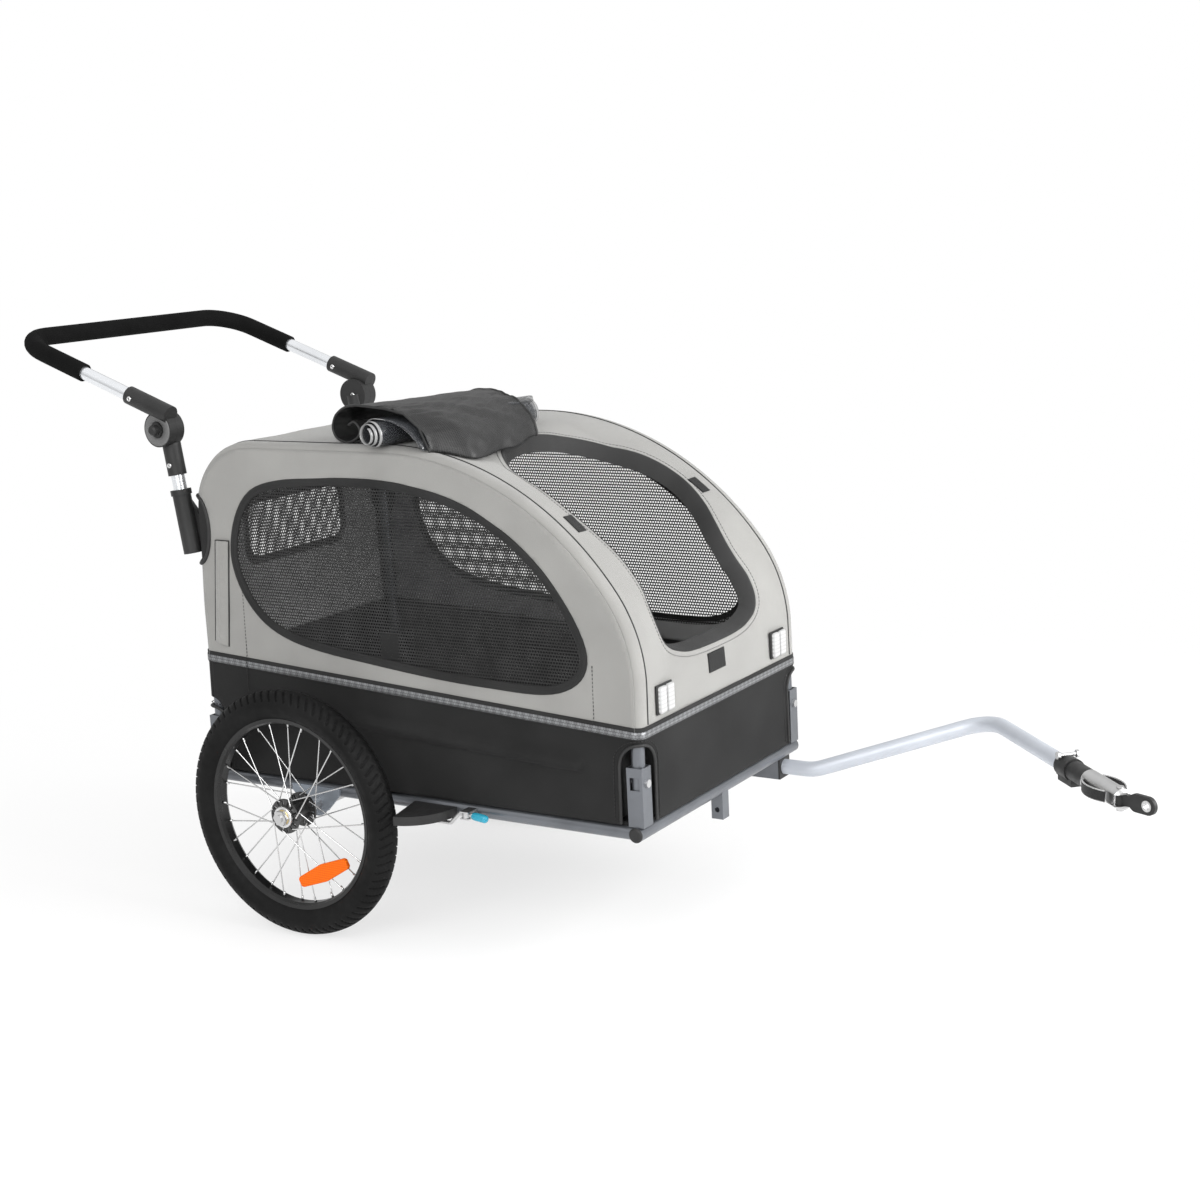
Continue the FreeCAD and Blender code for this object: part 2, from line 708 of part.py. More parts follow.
def entrance_prism(offset):
    """The entrance in the roof and nose: its sides are straight, its four corners round."""
    half = ENTRANCE_W / 2
    seen_from_front = rounded_prism((-half, ENTRANCE_LOW_Z), (half, 2 * FAR), ENTRANCE_R, offset, X_AXIS)
    seen_from_above = rounded_prism((ENTRANCE_REAR_X, -half), (2 * FAR, half), ENTRANCE_R, offset, Z_AXIS)
    return seen_from_front.common(seen_from_above)


def rear_window_prism(offset):
    half = REAR_WINDOW_W / 2
    top = REAR_WINDOW_LOW_Z + REAR_WINDOW_H
    return rounded_prism((-half, REAR_WINDOW_LOW_Z), (half, top), REAR_WINDOW_R, offset, X_AXIS)


def behind_roof_seam():
    """The part of the cabin behind the seam between the roof and the back panel."""
    seam_x = REAR_X + REAR_R / 8
    return box((-FAR, -FAR, 0), (seam_x, FAR, ROOF_Z - REAR_R))


def socket_cuts():
    """Round-ended gaps in the cloth at the rear corners, where the handle sockets reach the hoops."""
    low = socket_point(SOCKET_TOP + SOCKET_L)
    top = socket_point(SOCKET_TOP + SOCKET_COLLAR_L)
    ends = (V(REAR_X, -STUB_Y, low.z + SOCKET_D / 2), V(REAR_X, -STUB_Y, top.z - SOCKET_D / 2))
    gap = [Part.makeSphere(SOCKET_CUT_R, end) for end in ends]
    gap.append(rod(tuple(ends[0]), tuple(ends[1]), 2 * SOCKET_CUT_R))
    return both_sides(fuse(gap))


def corner_cuts():
    """Arched gaps in the lower cover, one round each corner bracket."""
    reach = CORNER_CUT_R - 1
    top = RAIL_TOP_Z + BRACKET_H
    cuts = []
    for x, out in zip(POST_X, (-1, 1)):
        xs = sorted((x - out * reach, x + out * 2 * reach))
        gap = box((xs[0], -HOOP_FOOT_Y - 2 * reach, 0), (xs[1], -HOOP_FOOT_Y + reach, top))
        cuts.append(gap.fuse(Part.makeSphere(CORNER_CUT_R, V(x, -HOOP_FOOT_Y, top))))
    return both_sides(Part.makeCompound(cuts))


def side_panel():
    """The right side's upper cloth, with its window cut out."""
    wall = outline_prism(0, COVER_LOW_Z).common(between_sides(0)).cut(between_sides(CLOTH_T))
    upper = wall.common(strip_band(-SEAM_GAP, FAR))
    return solids_on(upper.cut(window_prism(0)).cut(socket_cuts()), RIGHT).Solids[0]


def roof_sheet():
    """The cloth over the top from the rear strip to the front strip, between the side panels."""
    sheet = outline_prism(0, COVER_LOW_Z).cut(outline_prism(CLOTH_T, 0))
    return sheet.common(between_sides(CLOTH_T + SEAM_GAP)).common(strip_band(-SEAM_GAP, FAR))


def roof_panel():
    """Roof and nose in one cloth, with the entrance cut out."""
    seam = behind_roof_seam()
    return roof_sheet().cut(seam).cut(entrance_prism(0)).Solids[0]


def rear_panel():
    """The back cloth, with its mesh window cut out."""
    seam = behind_roof_seam().translated(V(0, 0, -SEAM_GAP))
    return roof_sheet().common(seam).cut(rear_window_prism(0)).cut(socket_cuts()).Solids[0]


def lower_cover():
    """The black lower cloth: one sewn band round the four sides, open below, cut away at the corners."""
    outer = outline_prism(0, COVER_LOW_Z).common(between_sides(0))
    inner = outline_prism(CLOTH_T, 0).common(between_sides(CLOTH_T))
    return outer.cut(inner).common(strip_band(FAR, -SEAM_GAP)).cut(corner_cuts()).Solids[0]


def layer(depth, thickness):
    """A skin that follows the whole cabin, from a depth inside its cloth face (less than 0 is outside)."""
    outer = outline_prism(depth, 0).common(between_sides(depth))
    inner = outline_prism(depth + thickness, -SEAM_GAP).common(between_sides(depth + thickness))
    return outer.cut(inner)


def window_meshes():
    """Netting in both side windows and the rear window."""
    depth = (CLOTH_T - MESH_T) / 2
    skin = layer(depth, MESH_T)
    sides = skin.common(window_prism(-SEAM_GAP))
    rear = skin.common(rear_window_prism(-SEAM_GAP)).common(box((-FAR, -FAR, 0), (0, FAR, FAR)))
    return Part.makeCompound(sides.Solids + rear.Solids)


def bindings():
    """Sewn tape over the edges of the three windows and the entrance."""
    skin = layer(-BINDING_T - SEAM_GAP, BINDING_T)
    lap = BINDING_W / 3
    sides = skin.common(window_prism(lap)).cut(window_prism(lap - BINDING_W))
    rear = skin.common(rear_window_prism(lap)).cut(rear_window_prism(lap - BINDING_W))
    rear = rear.common(box((-FAR, -FAR, 0), (0, FAR, FAR)))
    entrance = skin.common(entrance_prism(lap)).cut(entrance_prism(lap - BINDING_W))
    return Part.makeCompound(sides.Solids + rear.Solids + entrance.Solids)


def reflective_strip():
    """A band of reflective tape over the seam between the upper and the lower cloth."""
    skin = layer(-STRIP_T - SEAM_GAP, STRIP_T)
    return skin.common(strip_band(STRIP_H / 2, STRIP_H / 2)).Solids[0]


def hoop():
    """The right hoop: one bent tube under the cloth's edge, leaning in, with a bolt hole in each foot."""
    path = Part.Wire(side_outline(HOOP_INSET, HOOP_FOOT_Z))
    bow = bent_tube(path, HOOP_D, HOOP_D - 2 * TUBE_WALL)
    bow = bow.rotated(V(0, 0, PIVOT_Z), X_AXIS, -math.degrees(CABIN_LEAN)).translated(V(0, -HOOP_FOOT_Y, 0))
    y = -HOOP_FOOT_Y
    return bow.cut(rod((-FAR, y, PIVOT_Z), (FAR, y, PIVOT_Z), PIVOT_BOLT_D + 2 * RUN_FIT))


def roof_bars():
    """Spreader tubes that keep the two hoops apart under the roof."""
    z = ROOF_Z - HOOP_INSET
    lean_in = (z - PIVOT_Z) * math.tan(CABIN_LEAN)
    end = HOOP_FOOT_Y - lean_in - HOOP_D / 2 - FRAME_GAP
    return Part.makeCompound([ring((x, -end, z), (x, end, z), ROOF_BAR_D, ROOF_BAR_D - 2 * TUBE_WALL)
                              for x in ROOF_BAR_X])


def front_reflectors():
    """Two small reflectors on the nose above the strip."""
    x = FRONT_X + SEAM_GAP
    low = FRONT_LAMP_Z - FRONT_LAMP_H / 2
    lamp = box((x, -FRONT_LAMP_Y - FRONT_LAMP_W / 2, low),
               (x + FRONT_LAMP_T, -FRONT_LAMP_Y + FRONT_LAMP_W / 2, low + FRONT_LAMP_H))
    edges = [e for e in lamp.Edges if e.CenterOfMass.x > x + FRONT_LAMP_T - 0.1]
    return both_sides(lamp.makeFillet(FRONT_LAMP_T / 3, edges))


def skewed(shape):
    """Turns a rolled piece on the roof, so that its far end lies nearer the entrance."""
    return shape.rotated(V(ROLL_CREST_X, ROLL_NEAR_Y, 0), Z_AXIS, -ROLL_SKEW)


def draped_roll():
    """The rolled-up cover on the roof: a sheet over the top, hooked round at the back and open below."""
    low = ROOF_Z + FRAME_GAP
    top = low + ROLL_H
    length = ROLL_FRONT_X - ROLL_REAR_X
    crest = (ROLL_CREST_X, ROLL_NEAR_Y, top)
    front = (ROLL_FRONT_X, ROLL_NEAR_Y, low)
    heel = (ROLL_REAR_X + length / 7, ROLL_NEAR_Y, low)
    brow = (ROLL_REAR_X + 0.76 * length, ROLL_NEAR_Y, low + 0.57 * ROLL_H)
    back = (ROLL_REAR_X, ROLL_NEAR_Y, low + 0.45 * ROLL_H)
    outline = Part.Wire([arc(front, brow, crest), arc(crest, back, heel), line(heel, front)])
    inside = outline.makeOffset2D(-ROLL_T)
    depth = V(0, ROLL_L, 0)
    bundle = Part.Face(outline).extrude(depth).cut(Part.Face(inside).extrude(depth))
    return skewed(bundle.cut(box((crest[0], -FAR, 0), (FAR, FAR, low + ROLL_T))))


def vinyl_roll():
    """A clear sheet rolled up inside the cover: half circles that step inwards."""
    y = ROLL_NEAR_Y - VINYL_PROUD
    z = ROOF_Z + FRAME_GAP + VINYL_R - VINYL_PITCH / 2
    outer = []
    inner = []
    for k in range(VINYL_HALF_TURNS):
        way = -1 if k % 2 else 1
        centre_x = VINYL_X + (VINYL_PITCH / 2 if k % 2 else 0)
        for turns, shrink in ((outer, 0), (inner, VINYL_T)):
            r = VINYL_R - k * VINYL_PITCH / 2 - shrink
            reach = way * r
            turns.append(arc((centre_x - reach, y, z), (centre_x, y, z + reach), (centre_x + reach, y, z)))
    ends = [line(tuple(a.Vertexes[v].Point), tuple(b.Vertexes[v].Point))
            for a, b, v in ((outer[0], inner[0], 0), (outer[-1], inner[-1], -1))]
    face = Part.Face(Part.Wire(Part.__sortEdges__(outer + inner + ends)))
    return skewed(face.extrude(V(0, ROLL_L + 2 * VINYL_PROUD, 0)))


# Push handle
def arm_point(reach, y):
    """A point on a handle arm, a reach away from its foot beside the joint."""
    turn = math.radians(ARM_ANGLE)
    foot_x = JOINT_X + ARM_OFFSET * math.sin(turn)
    foot_z = JOINT_Z + ARM_OFFSET * math.cos(turn)
    return V(foot_x - reach * math.cos(turn), y, foot_z + reach * math.sin(turn))


def socket_point(reach):
    """A point on the right stub's axis, a reach below the joint."""
    turn = math.radians(STUB_LEAN)
    return V(JOINT_X + reach * math.sin(turn), -STUB_Y, JOINT_Z - reach * math.cos(turn))


def handle_path(start):
    """The handle's bow from one arm round to the other."""
    corners = [arm_point(start, -ARM_Y), arm_point(ARM_REACH, -ARM_Y),
               arm_point(ARM_REACH, ARM_Y), arm_point(start, ARM_Y)]
    return bent_path([tuple(c) for c in corners], ARM_BEND_R)


def handle_bar():
    return bent_tube(handle_path(SLEEVE_D), ARM_D, ARM_D - 2 * TUBE_WALL)


def handle_grip():
    """Foam round the handle's bow."""
    return bent_tube(handle_path(GRIP_START), GRIP_D, ARM_D + 2 * WELD_GAP)


def joint_disc(near_y, far_y):
    """A disc on the tilt axis, between two distances from the middle."""
    return rod((JOINT_X, -near_y, JOINT_Z), (JOINT_X, -far_y, JOINT_Z), JOINT_D)


def upper_joint_halves():
    """The outer half of each joint, which carries an arm, a pocket for the button and a spigot."""
    parting = JOINT_Y + FRAME_GAP
    face = JOINT_Y + JOINT_HALF_T
    sleeve = rod(tuple(arm_point(-SLEEVE_D / 2, -ARM_Y)), tuple(arm_point(SLEEVE_REACH, -ARM_Y)), SLEEVE_D)
    sleeve = sleeve.cut(joint_disc(0, parting).makeOffsetShape(FRAME_GAP, 0.01))
    spigot = rod((JOINT_X, -parting, JOINT_Z), (JOINT_X, -parting + JOINT_SPIGOT_L, JOINT_Z), JOINT_SPIGOT_D)
    bezel = rod((JOINT_X, -face, JOINT_Z), (JOINT_X, -face - BEZEL_T, JOINT_Z), BEZEL_D)
    half = fuse([joint_disc(parting, face), sleeve, spigot, bezel])
    half = half.cut(rod(tuple(arm_point(SLEEVE_D, -ARM_Y)), tuple(arm_point(FAR, -ARM_Y)), ARM_D + 2 * WELD_GAP))
    pocket_y = button_inner_y() - BUTTON_TRAVEL - FRAME_GAP
    pocket = rod((JOINT_X, -pocket_y, JOINT_Z), (JOINT_X, -FAR, JOINT_Z), BUTTON_D + 2 * RUN_FIT)
    return both_sides(half.cut(pocket))


def button_inner_y():
    """How far from the middle a button's inner end is at rest."""
    return JOINT_Y + JOINT_HALF_T + BEZEL_T + BUTTON_PROUD - BUTTON_L


def tilt_button():
    """The right push button, domed at its outer end."""
    inner = button_inner_y()
    button = rod((JOINT_X, -inner, JOINT_Z), (JOINT_X, -inner - BUTTON_L, JOINT_Z), BUTTON_D)
    return button.makeChamfer(BUTTON_D / 6, rim_edges(button, Y_AXIS, -1))


def lower_joint_halves():
    """The inner half of each joint, which carries the stub that goes down into a socket."""
    parting = JOINT_Y
    face = JOINT_Y - JOINT_HALF_T
    sleeve = rod(tuple(socket_point(0)), tuple(socket_point(SLEEVE_REACH)), SLEEVE_D)
    sleeve = sleeve.cut(joint_disc(parting, FAR).makeOffsetShape(FRAME_GAP, 0.01))
    half = fuse([joint_disc(face, parting), sleeve])
    half = half.cut(rod(tuple(socket_point(SLEEVE_D)), tuple(socket_point(FAR)), ARM_D + 2 * WELD_GAP))
    bore_y = parting - JOINT_SPIGOT_L
    bore = rod((JOINT_X, -bore_y, JOINT_Z), (JOINT_X, -FAR, JOINT_Z), JOINT_SPIGOT_D + 2 * RUN_FIT)
    return both_sides(half.cut(bore))


def handle_stubs():
    """Tubes from the joints down into the sockets."""
    start = tuple(socket_point(SLEEVE_D))
    end = tuple(socket_point(SOCKET_TOP + SOCKET_L - SOCKET_FLOOR - FRAME_GAP))
    return both_sides(ring(start, end, ARM_D, ARM_D - 2 * TUBE_WALL))


def handle_sockets():
    """Moulded sockets with a collar, and a web that reaches the hoop's rear leg."""
    top = socket_point(SOCKET_TOP)
    low = socket_point(SOCKET_TOP + SOCKET_L)
    collar_end = socket_point(SOCKET_TOP + SOCKET_COLLAR_L)
    leg_x = POST_X[0] - HOOP_D / 2 - FRAME_GAP
    leg_y = HOOP_FOOT_Y - (low.z - PIVOT_Z + SOCKET_L / 2) * math.tan(CABIN_LEAN)
    web_y = -leg_y - SOCKET_WEB_T / 2
    web = prism([(collar_end.x, web_y, collar_end.z), (leg_x, web_y, collar_end.z - SOCKET_L / 3),
                 (leg_x, web_y, low.z + SOCKET_FLOOR), (low.x, web_y, low.z)], (0, SOCKET_WEB_T, 0))
    collar = rod(tuple(top), tuple(collar_end), SOCKET_COLLAR_D)
    body = fuse([rod(tuple(top), tuple(low), SOCKET_D), collar, web])
    floor = socket_point(SOCKET_TOP + SOCKET_L - SOCKET_FLOOR)
    return both_sides(body.cut(rod(tuple(floor), tuple(socket_point(0)), ARM_D + 2 * WELD_GAP)))


# Wheel guards and parking brakes
def guard_outline(inset, z, height):
    """The guard's quarter-round outline in plan, shrunk by an inset and pushed up."""
    y0 = -(CROSS_HALF + WELD_GAP)
    tip_y = y0 - GUARD_W
    root = V(GUARD_REAR_X + inset, y0, z)
    tip = V(GUARD_TIP_X + inset, tip_y + inset, z)
    middle = V(GUARD_REAR_X + 0.7 * GUARD_L - inset, y0 - 0.76 * GUARD_W + inset, z)
    front = V(GUARD_REAR_X + GUARD_L - inset, y0, z)
    edges = [Part.LineSegment(root, tip).toShape(), Part.Arc(tip, middle, front).toShape(),
             Part.LineSegment(front, root).toShape()]
    return Part.Face(Part.Wire(edges)).extrude(V(0, 0, height))


def wheel_guards():
    """Plates with a skirt, ahead of the tyres, open below."""
    low = RAIL_Z - GUARD_H / 2 - GUARD_T
    shell = guard_outline(0, low, GUARD_H).cut(guard_outline(GUARD_T, low - GUARD_T, GUARD_H))
    return both_sides(shell)


def brake_brackets():
    """A back plate on the rail with two lips and a pin for the brake lever."""
    y0 = -(CROSS_HALF + WELD_GAP)
    half = BRAKE_PLATE_L / 2
    gap = BRAKE_EYE_H / 2 + FRAME_GAP
    height = gap + BRAKE_PLATE_T
    lip_y = -BRAKE_Y - BRAKE_EYE_D / 2
    plates = [box((BRAKE_X - half, y0 - BRAKE_PLATE_T, RAIL_Z - height), (BRAKE_X + half, y0, RAIL_Z + height))]
    for z in (RAIL_Z - height, RAIL_Z + gap):
        plates.append(box((BRAKE_X - half, lip_y, z), (BRAKE_X + half, y0, z + BRAKE_PLATE_T)))
    plates.append(rod((BRAKE_X, -BRAKE_Y, RAIL_Z - height), (BRAKE_X, -BRAKE_Y, RAIL_Z + height), BRAKE_PIN_D))
    return both_sides(fuse(plates))


def brake_lever():
    """The right brake lever: a bent rod with an eye on the pin, a grip ahead and a pad beside the tyre."""
    y = -BRAKE_Y
    low_z = RAIL_Z - BRAKE_DROP
    pad_x = BRAKE_X - BRAKE_ARM
    clear_x = BRAKE_X - BRAKE_PLATE_L / 2 - BRAKE_ROD_D
    tip = (BRAKE_X + BRAKE_TIP, y - BRAKE_ROD_D, RAIL_Z)
    path = bent_path([tip, (BRAKE_X + BRAKE_EYE_D, y, RAIL_Z), (clear_x, y, RAIL_Z),
                      (clear_x - BRAKE_DROP, y, low_z), (pad_x, y, low_z)], BRAKE_ROD_D)
    grip_end = V(*tip)
    grip_run = (V(BRAKE_X + BRAKE_EYE_D, y, RAIL_Z) - grip_end).normalize()
    grip = rod(tip, tuple(grip_end + grip_run * BRAKE_GRIP_L), BRAKE_GRIP_D)
    eye = rod((BRAKE_X, y, RAIL_Z - BRAKE_EYE_H / 2), (BRAKE_X, y, RAIL_Z + BRAKE_EYE_H / 2), BRAKE_EYE_D)
    pad = rod((pad_x, y + BRAKE_ROD_D, low_z), (pad_x, y - BRAKE_PAD_L, low_z), BRAKE_PAD_D)
    lever = fuse([swept(path, BRAKE_ROD_D), grip, eye, pad])
    bore = rod((BRAKE_X, y, 0), (BRAKE_X, y, FAR), BRAKE_PIN_D + 2 * RUN_FIT)
    return lever.cut(bore)


# Tow arm and hitch
def receiver_z():
    return RAIL_Z - RAIL_R - WELD_GAP - RECEIVER_W / 2


def tow_receiver():
    """A square tube under the front left corner, with holes for the pull pin."""
    half = RECEIVER_W / 2
    inner = half - RECEIVER_WALL
    z = receiver_z()
    tube = box((RECEIVER_REAR_X, RECEIVER_Y - half, z - half), (RECEIVER_FRONT_X, RECEIVER_Y + half, z + half))
    tube = tube.cut(box((-FAR, RECEIVER_Y - inner, z - inner), (FAR, RECEIVER_Y + inner, z + inner)))
    return tube.cut(tow_pin_bore())


def tow_pin_bore():
    z = receiver_z()
    return rod((TOW_PIN_X, 0, z), (TOW_PIN_X, FAR, z), TOW_PIN_D + 2 * RUN_FIT)


def receiver_bushes():
    """Plastic bushes in both ends of the receiver, the front one with a flange."""
    z = receiver_z()
    inner = RECEIVER_W / 2 - RECEIVER_WALL - WELD_GAP
    half = RECEIVER_W / 2
    bore = rod((0, RECEIVER_Y, z), (FAR, RECEIVER_Y, z), TOW_D + 2 * WELD_GAP)
    front = box((RECEIVER_FRONT_X - BUSH_L, RECEIVER_Y - inner, z - inner),
                (RECEIVER_FRONT_X + WELD_GAP, RECEIVER_Y + inner, z + inner))
    flange = box((RECEIVER_FRONT_X + WELD_GAP, RECEIVER_Y - half, z - half),
                 (RECEIVER_FRONT_X + WELD_GAP + BUSH_FLANGE_T, RECEIVER_Y + half, z + half))
    rear = box((RECEIVER_REAR_X, RECEIVER_Y - inner, z - inner),
               (RECEIVER_REAR_X + BUSH_L, RECEIVER_Y + inner, z + inner))
    return Part.makeCompound([fuse([front, flange]).cut(bore), rear.cut(bore)])


def hitch_point(reach):
    """A point along the arm's last leg, a reach beyond its elbow."""
    turn = math.radians(TOW_TURN)
    return V(TOW_ELBOW[0] + reach * math.cos(turn), TOW_ELBOW[1] - reach * math.sin(turn), TOW_ELBOW[2])


def tow_arm():
    """One bent tube: straight in the receiver, out and up past the wheel, then level and inwards."""
    z = receiver_z()
    path = bent_path([(TOW_FOOT_X, RECEIVER_Y, z), (TOW_RISE_X, RECEIVER_Y, z), TOW_ELBOW,
                      tuple(hitch_point(HITCH_START + TOW_INSERT))], TOW_BEND_R)
    return bent_tube(path, TOW_D, TOW_D - 2 * TOW_WALL).cut(tow_pin_bore())


def tow_pin():
    """A pull pin across the receiver, with a head on its inner end."""
    z = receiver_z()
    half = RECEIVER_W / 2
    inner_y = RECEIVER_Y - half - TOW_PIN_D
    pin = rod((TOW_PIN_X, inner_y, z), (TOW_PIN_X, RECEIVER_Y + half + TOW_PIN_D / 2, z), TOW_PIN_D)
    head = rod((TOW_PIN_X, inner_y, z), (TOW_PIN_X, RECEIVER_Y - half - FRAME_GAP, z), 1.6 * TOW_PIN_D)
    return fuse([pin, head])


def on_hitch(shape, reach):
    """Moves a piece that was made along +X to its place on the arm's last leg."""
    return shape.rotated(V(0, 0, 0), Z_AXIS, -TOW_TURN).translated(hitch_point(reach))


def hitch_sleeve():
    """A stepped sleeve clamped on the arm's end, with a block below and a bore for the coupler's spigot."""
    clamp = rod((0, 0, 0), (HITCH_CLAMP_L, 0, 0), HITCH_SLEEVE_D)
    barrel = rod((HITCH_CLAMP_L, 0, 0), (HITCH_SLEEVE_L, 0, 0), HITCH_STEP_D)
    half = HITCH_BLOCK_W / 2
    block = box((0, -half, -HITCH_BLOCK_H), (HITCH_CLAMP_L + half, half, 0))
    body = fuse([clamp, barrel, block])
    body = body.cut(rod((-FAR, 0, 0), (TOW_INSERT + FRAME_GAP, 0, 0), TOW_D + 2 * WELD_GAP))
    return on_hitch(body.cut(rod((0, 0, 0), (FAR, 0, 0), COUPLER_SPIGOT_D + 2 * RUN_FIT)), HITCH_START)


def coupler_start():
    return HITCH_START + HITCH_SLEEVE_L + FRAME_GAP


def pin_reach():
    return coupler_start() + COUPLER_L - FORK_PIN_BACK


def coupler():
    """A steel coupler that turns in the sleeve, with a fork and pin hole at its front."""
    body = rod((0, 0, 0), (COUPLER_L, 0, 0), COUPLER_D)
    body = body.makeChamfer(COUPLER_D / 8, rim_edges(body, X_AXIS, 1))
    body = body.cut(box((COUPLER_L - FORK_L, -FAR, -FORK_GAP / 2), (FAR, FAR, FORK_GAP / 2)))
    pin_x = COUPLER_L - FORK_PIN_BACK
    body = body.cut(rod((pin_x, 0, -FAR), (pin_x, 0, FAR), FORK_PIN_D + 2 * WELD_GAP))
    spigot = rod((-COUPLER_SPIGOT_L, 0, 0), (0, 0, 0), COUPLER_SPIGOT_D)
    return on_hitch(fuse([body, spigot]), coupler_start())


def coupler_pin():
    """The upright pin that the tongue swings on, with a flat head at each end."""
    half = COUPLER_D / 2
    pin = rod((0, 0, -half), (0, 0, half), FORK_PIN_D)
    heads = [rod((0, 0, end * half), (0, 0, end * (half + TONGUE_T / 3)), 1.8 * FORK_PIN_D) for end in (-1, 1)]
    return on_hitch(fuse([pin] + heads), pin_reach())


def safety_strap():
    """Two bowed webbing bands beside the coupler."""
    start = COUPLER_D / 4
    end = COUPLER_L - FORK_L
    flat_y = COUPLER_D / 2 + SEAM_GAP
    bands = []
    for side in (-1, 1):
        y = side * flat_y
        out = side * STRAP_T
        bow = side * STRAP_BOW
        middle = (start + end) / 2
        edges = [arc((start, y, 0), (middle, y + bow, 0), (end, y, 0)),
                 line((end, y, 0), (end, y + out, 0)),
                 arc((end, y + out, 0), (middle, y + bow + out, 0), (start, y + out, 0)),
                 line((start, y + out, 0), (start, y, 0))]
        band = Part.Face(Part.Wire(edges)).extrude(V(0, 0, STRAP_W))
        bands.append(band.translated(V(0, 0, -STRAP_W / 2)))
    return on_hitch(Part.makeCompound(bands), coupler_start())


def on_tongue(shape):
    """Moves a piece that was made along +X from the pin to its place on the tongue."""
    return shape.rotated(V(0, 0, 0), Z_AXIS, -TONGUE_TURN).translated(hitch_point(pin_reach()))


def eye_x():
    return TONGUE_L - EYE_BACK


def axle_tongue():
    """The tongue: a barrel on the pin, a neck, and an upright plate with round ends and an eye."""
    knuckle_h = FORK_GAP - 2 * FRAME_GAP
    half = TONGUE_T / 2
    barrel = rod((0, 0, -knuckle_h / 2), (0, 0, knuckle_h / 2), 2.2 * FORK_PIN_D)
    neck = box((0, -half, -knuckle_h / 2), (TONGUE_NECK + TONGUE_H / 2, half, knuckle_h / 2))
    rear_c = TONGUE_NECK + TONGUE_H / 2
    front_c = TONGUE_L - TONGUE_H / 2
    plate = [rod((x, -half, 0), (x, half, 0), TONGUE_H) for x in (rear_c, front_c)]
    plate.append(box((rear_c, -half, -TONGUE_H / 2), (front_c, half, TONGUE_H / 2)))
    body = fuse([barrel, neck] + plate)
    body = body.cut(rod((0, 0, -FAR), (0, 0, FAR), FORK_PIN_D + 2 * RUN_FIT))
    return on_tongue(body.cut(rod((eye_x(), -FAR, 0), (eye_x(), FAR, 0), EYELET_D - 2 * EYELET_LIP)))


def axle_eyelet():
    """A steel eyelet pressed through the tongue, for the bicycle's axle."""
    half = TONGUE_T / 2
    ends = [rod((eye_x(), s * (half + WELD_GAP), 0), (eye_x(), s * (half + WELD_GAP + EYELET_LIP), 0), EYELET_D)
            for s in (-1, 1)]
    barrel_d = EYELET_D - 2 * EYELET_LIP - 2 * WELD_GAP
    barrel = rod((eye_x(), -half - WELD_GAP, 0), (eye_x(), half + WELD_GAP, 0), barrel_d)
    body = fuse([barrel] + ends)
    return on_tongue(body.cut(rod((eye_x(), -FAR, 0), (eye_x(), FAR, 0), EYE_D)))


def all_pieces():
    """Every piece of the trailer, by node name."""
    pieces = {}
    for name, shape in wheel_pieces().items():
        pieces["right_" + name] = shape
        pieces["left_" + name] = mirrored(shape)
    pieces["wheel_axles"] = wheel_axles()
    pieces["axle_nuts"] = axle_nuts()

    pieces["right_rail"] = side_rail()
    pieces["left_rail"] = mirrored(side_rail())
    pieces["cross_tubes"] = cross_tubes()
    pieces["tube_end_plugs"] = end_plugs()
    pieces["hinge_brackets"] = hinge_brackets()
    pieces["hinge_bolts"] = hinge_bolts()
    pieces["stand_bracket"] = stand_bracket()
    pieces["axle_beam"] = axle_beam()
    pieces["axle_brackets"] = axle_brackets()
    pieces["floor_panel"] = floor_panel()

    pieces["right_hoop"] = hoop()
    pieces["left_hoop"] = mirrored(pieces["right_hoop"])
    pieces["roof_bars"] = roof_bars()
    pieces["right_side_panel"] = side_panel()
    pieces["left_side_panel"] = mirrored(pieces["right_side_panel"])
    pieces["roof_panel"] = roof_panel()
    pieces["rear_panel"] = rear_panel()
    pieces["lower_cover"] = lower_cover()
    pieces["window_meshes"] = window_meshes()
    pieces["bindings"] = bindings()
    pieces["reflective_strip"] = reflective_strip()
    pieces["front_reflectors"] = front_reflectors()
    pieces["cover_roll"] = draped_roll()
    pieces["vinyl_roll"] = vinyl_roll()

    pieces["handle_bar"] = handle_bar()
    pieces["handle_grip"] = handle_grip()
    pieces["upper_joint_halves"] = upper_joint_halves()
    pieces["lower_joint_halves"] = lower_joint_halves()
    pieces["right_tilt_button"] = tilt_button()
    pieces["left_tilt_button"] = mirrored(tilt_button())
    pieces["handle_stubs"] = handle_stubs()
    pieces["handle_sockets"] = handle_sockets()

    pieces["wheel_guards"] = wheel_guards()
    pieces["brake_brackets"] = brake_brackets()
    pieces["right_brake_lever"] = brake_lever()
    pieces["left_brake_lever"] = mirrored(pieces["right_brake_lever"])

    pieces["tow_receiver"] = tow_receiver()
    pieces["receiver_bushes"] = receiver_bushes()
    pieces["tow_arm"] = tow_arm()
    pieces["tow_pin"] = tow_pin()
    pieces["hitch_sleeve"] = hitch_sleeve()
    pieces["coupler"] = coupler()
    pieces["coupler_pin"] = coupler_pin()
    pieces["safety_strap"] = safety_strap()
    pieces["axle_tongue"] = axle_tongue()
    pieces["axle_eyelet"] = axle_eyelet()
    return pieces


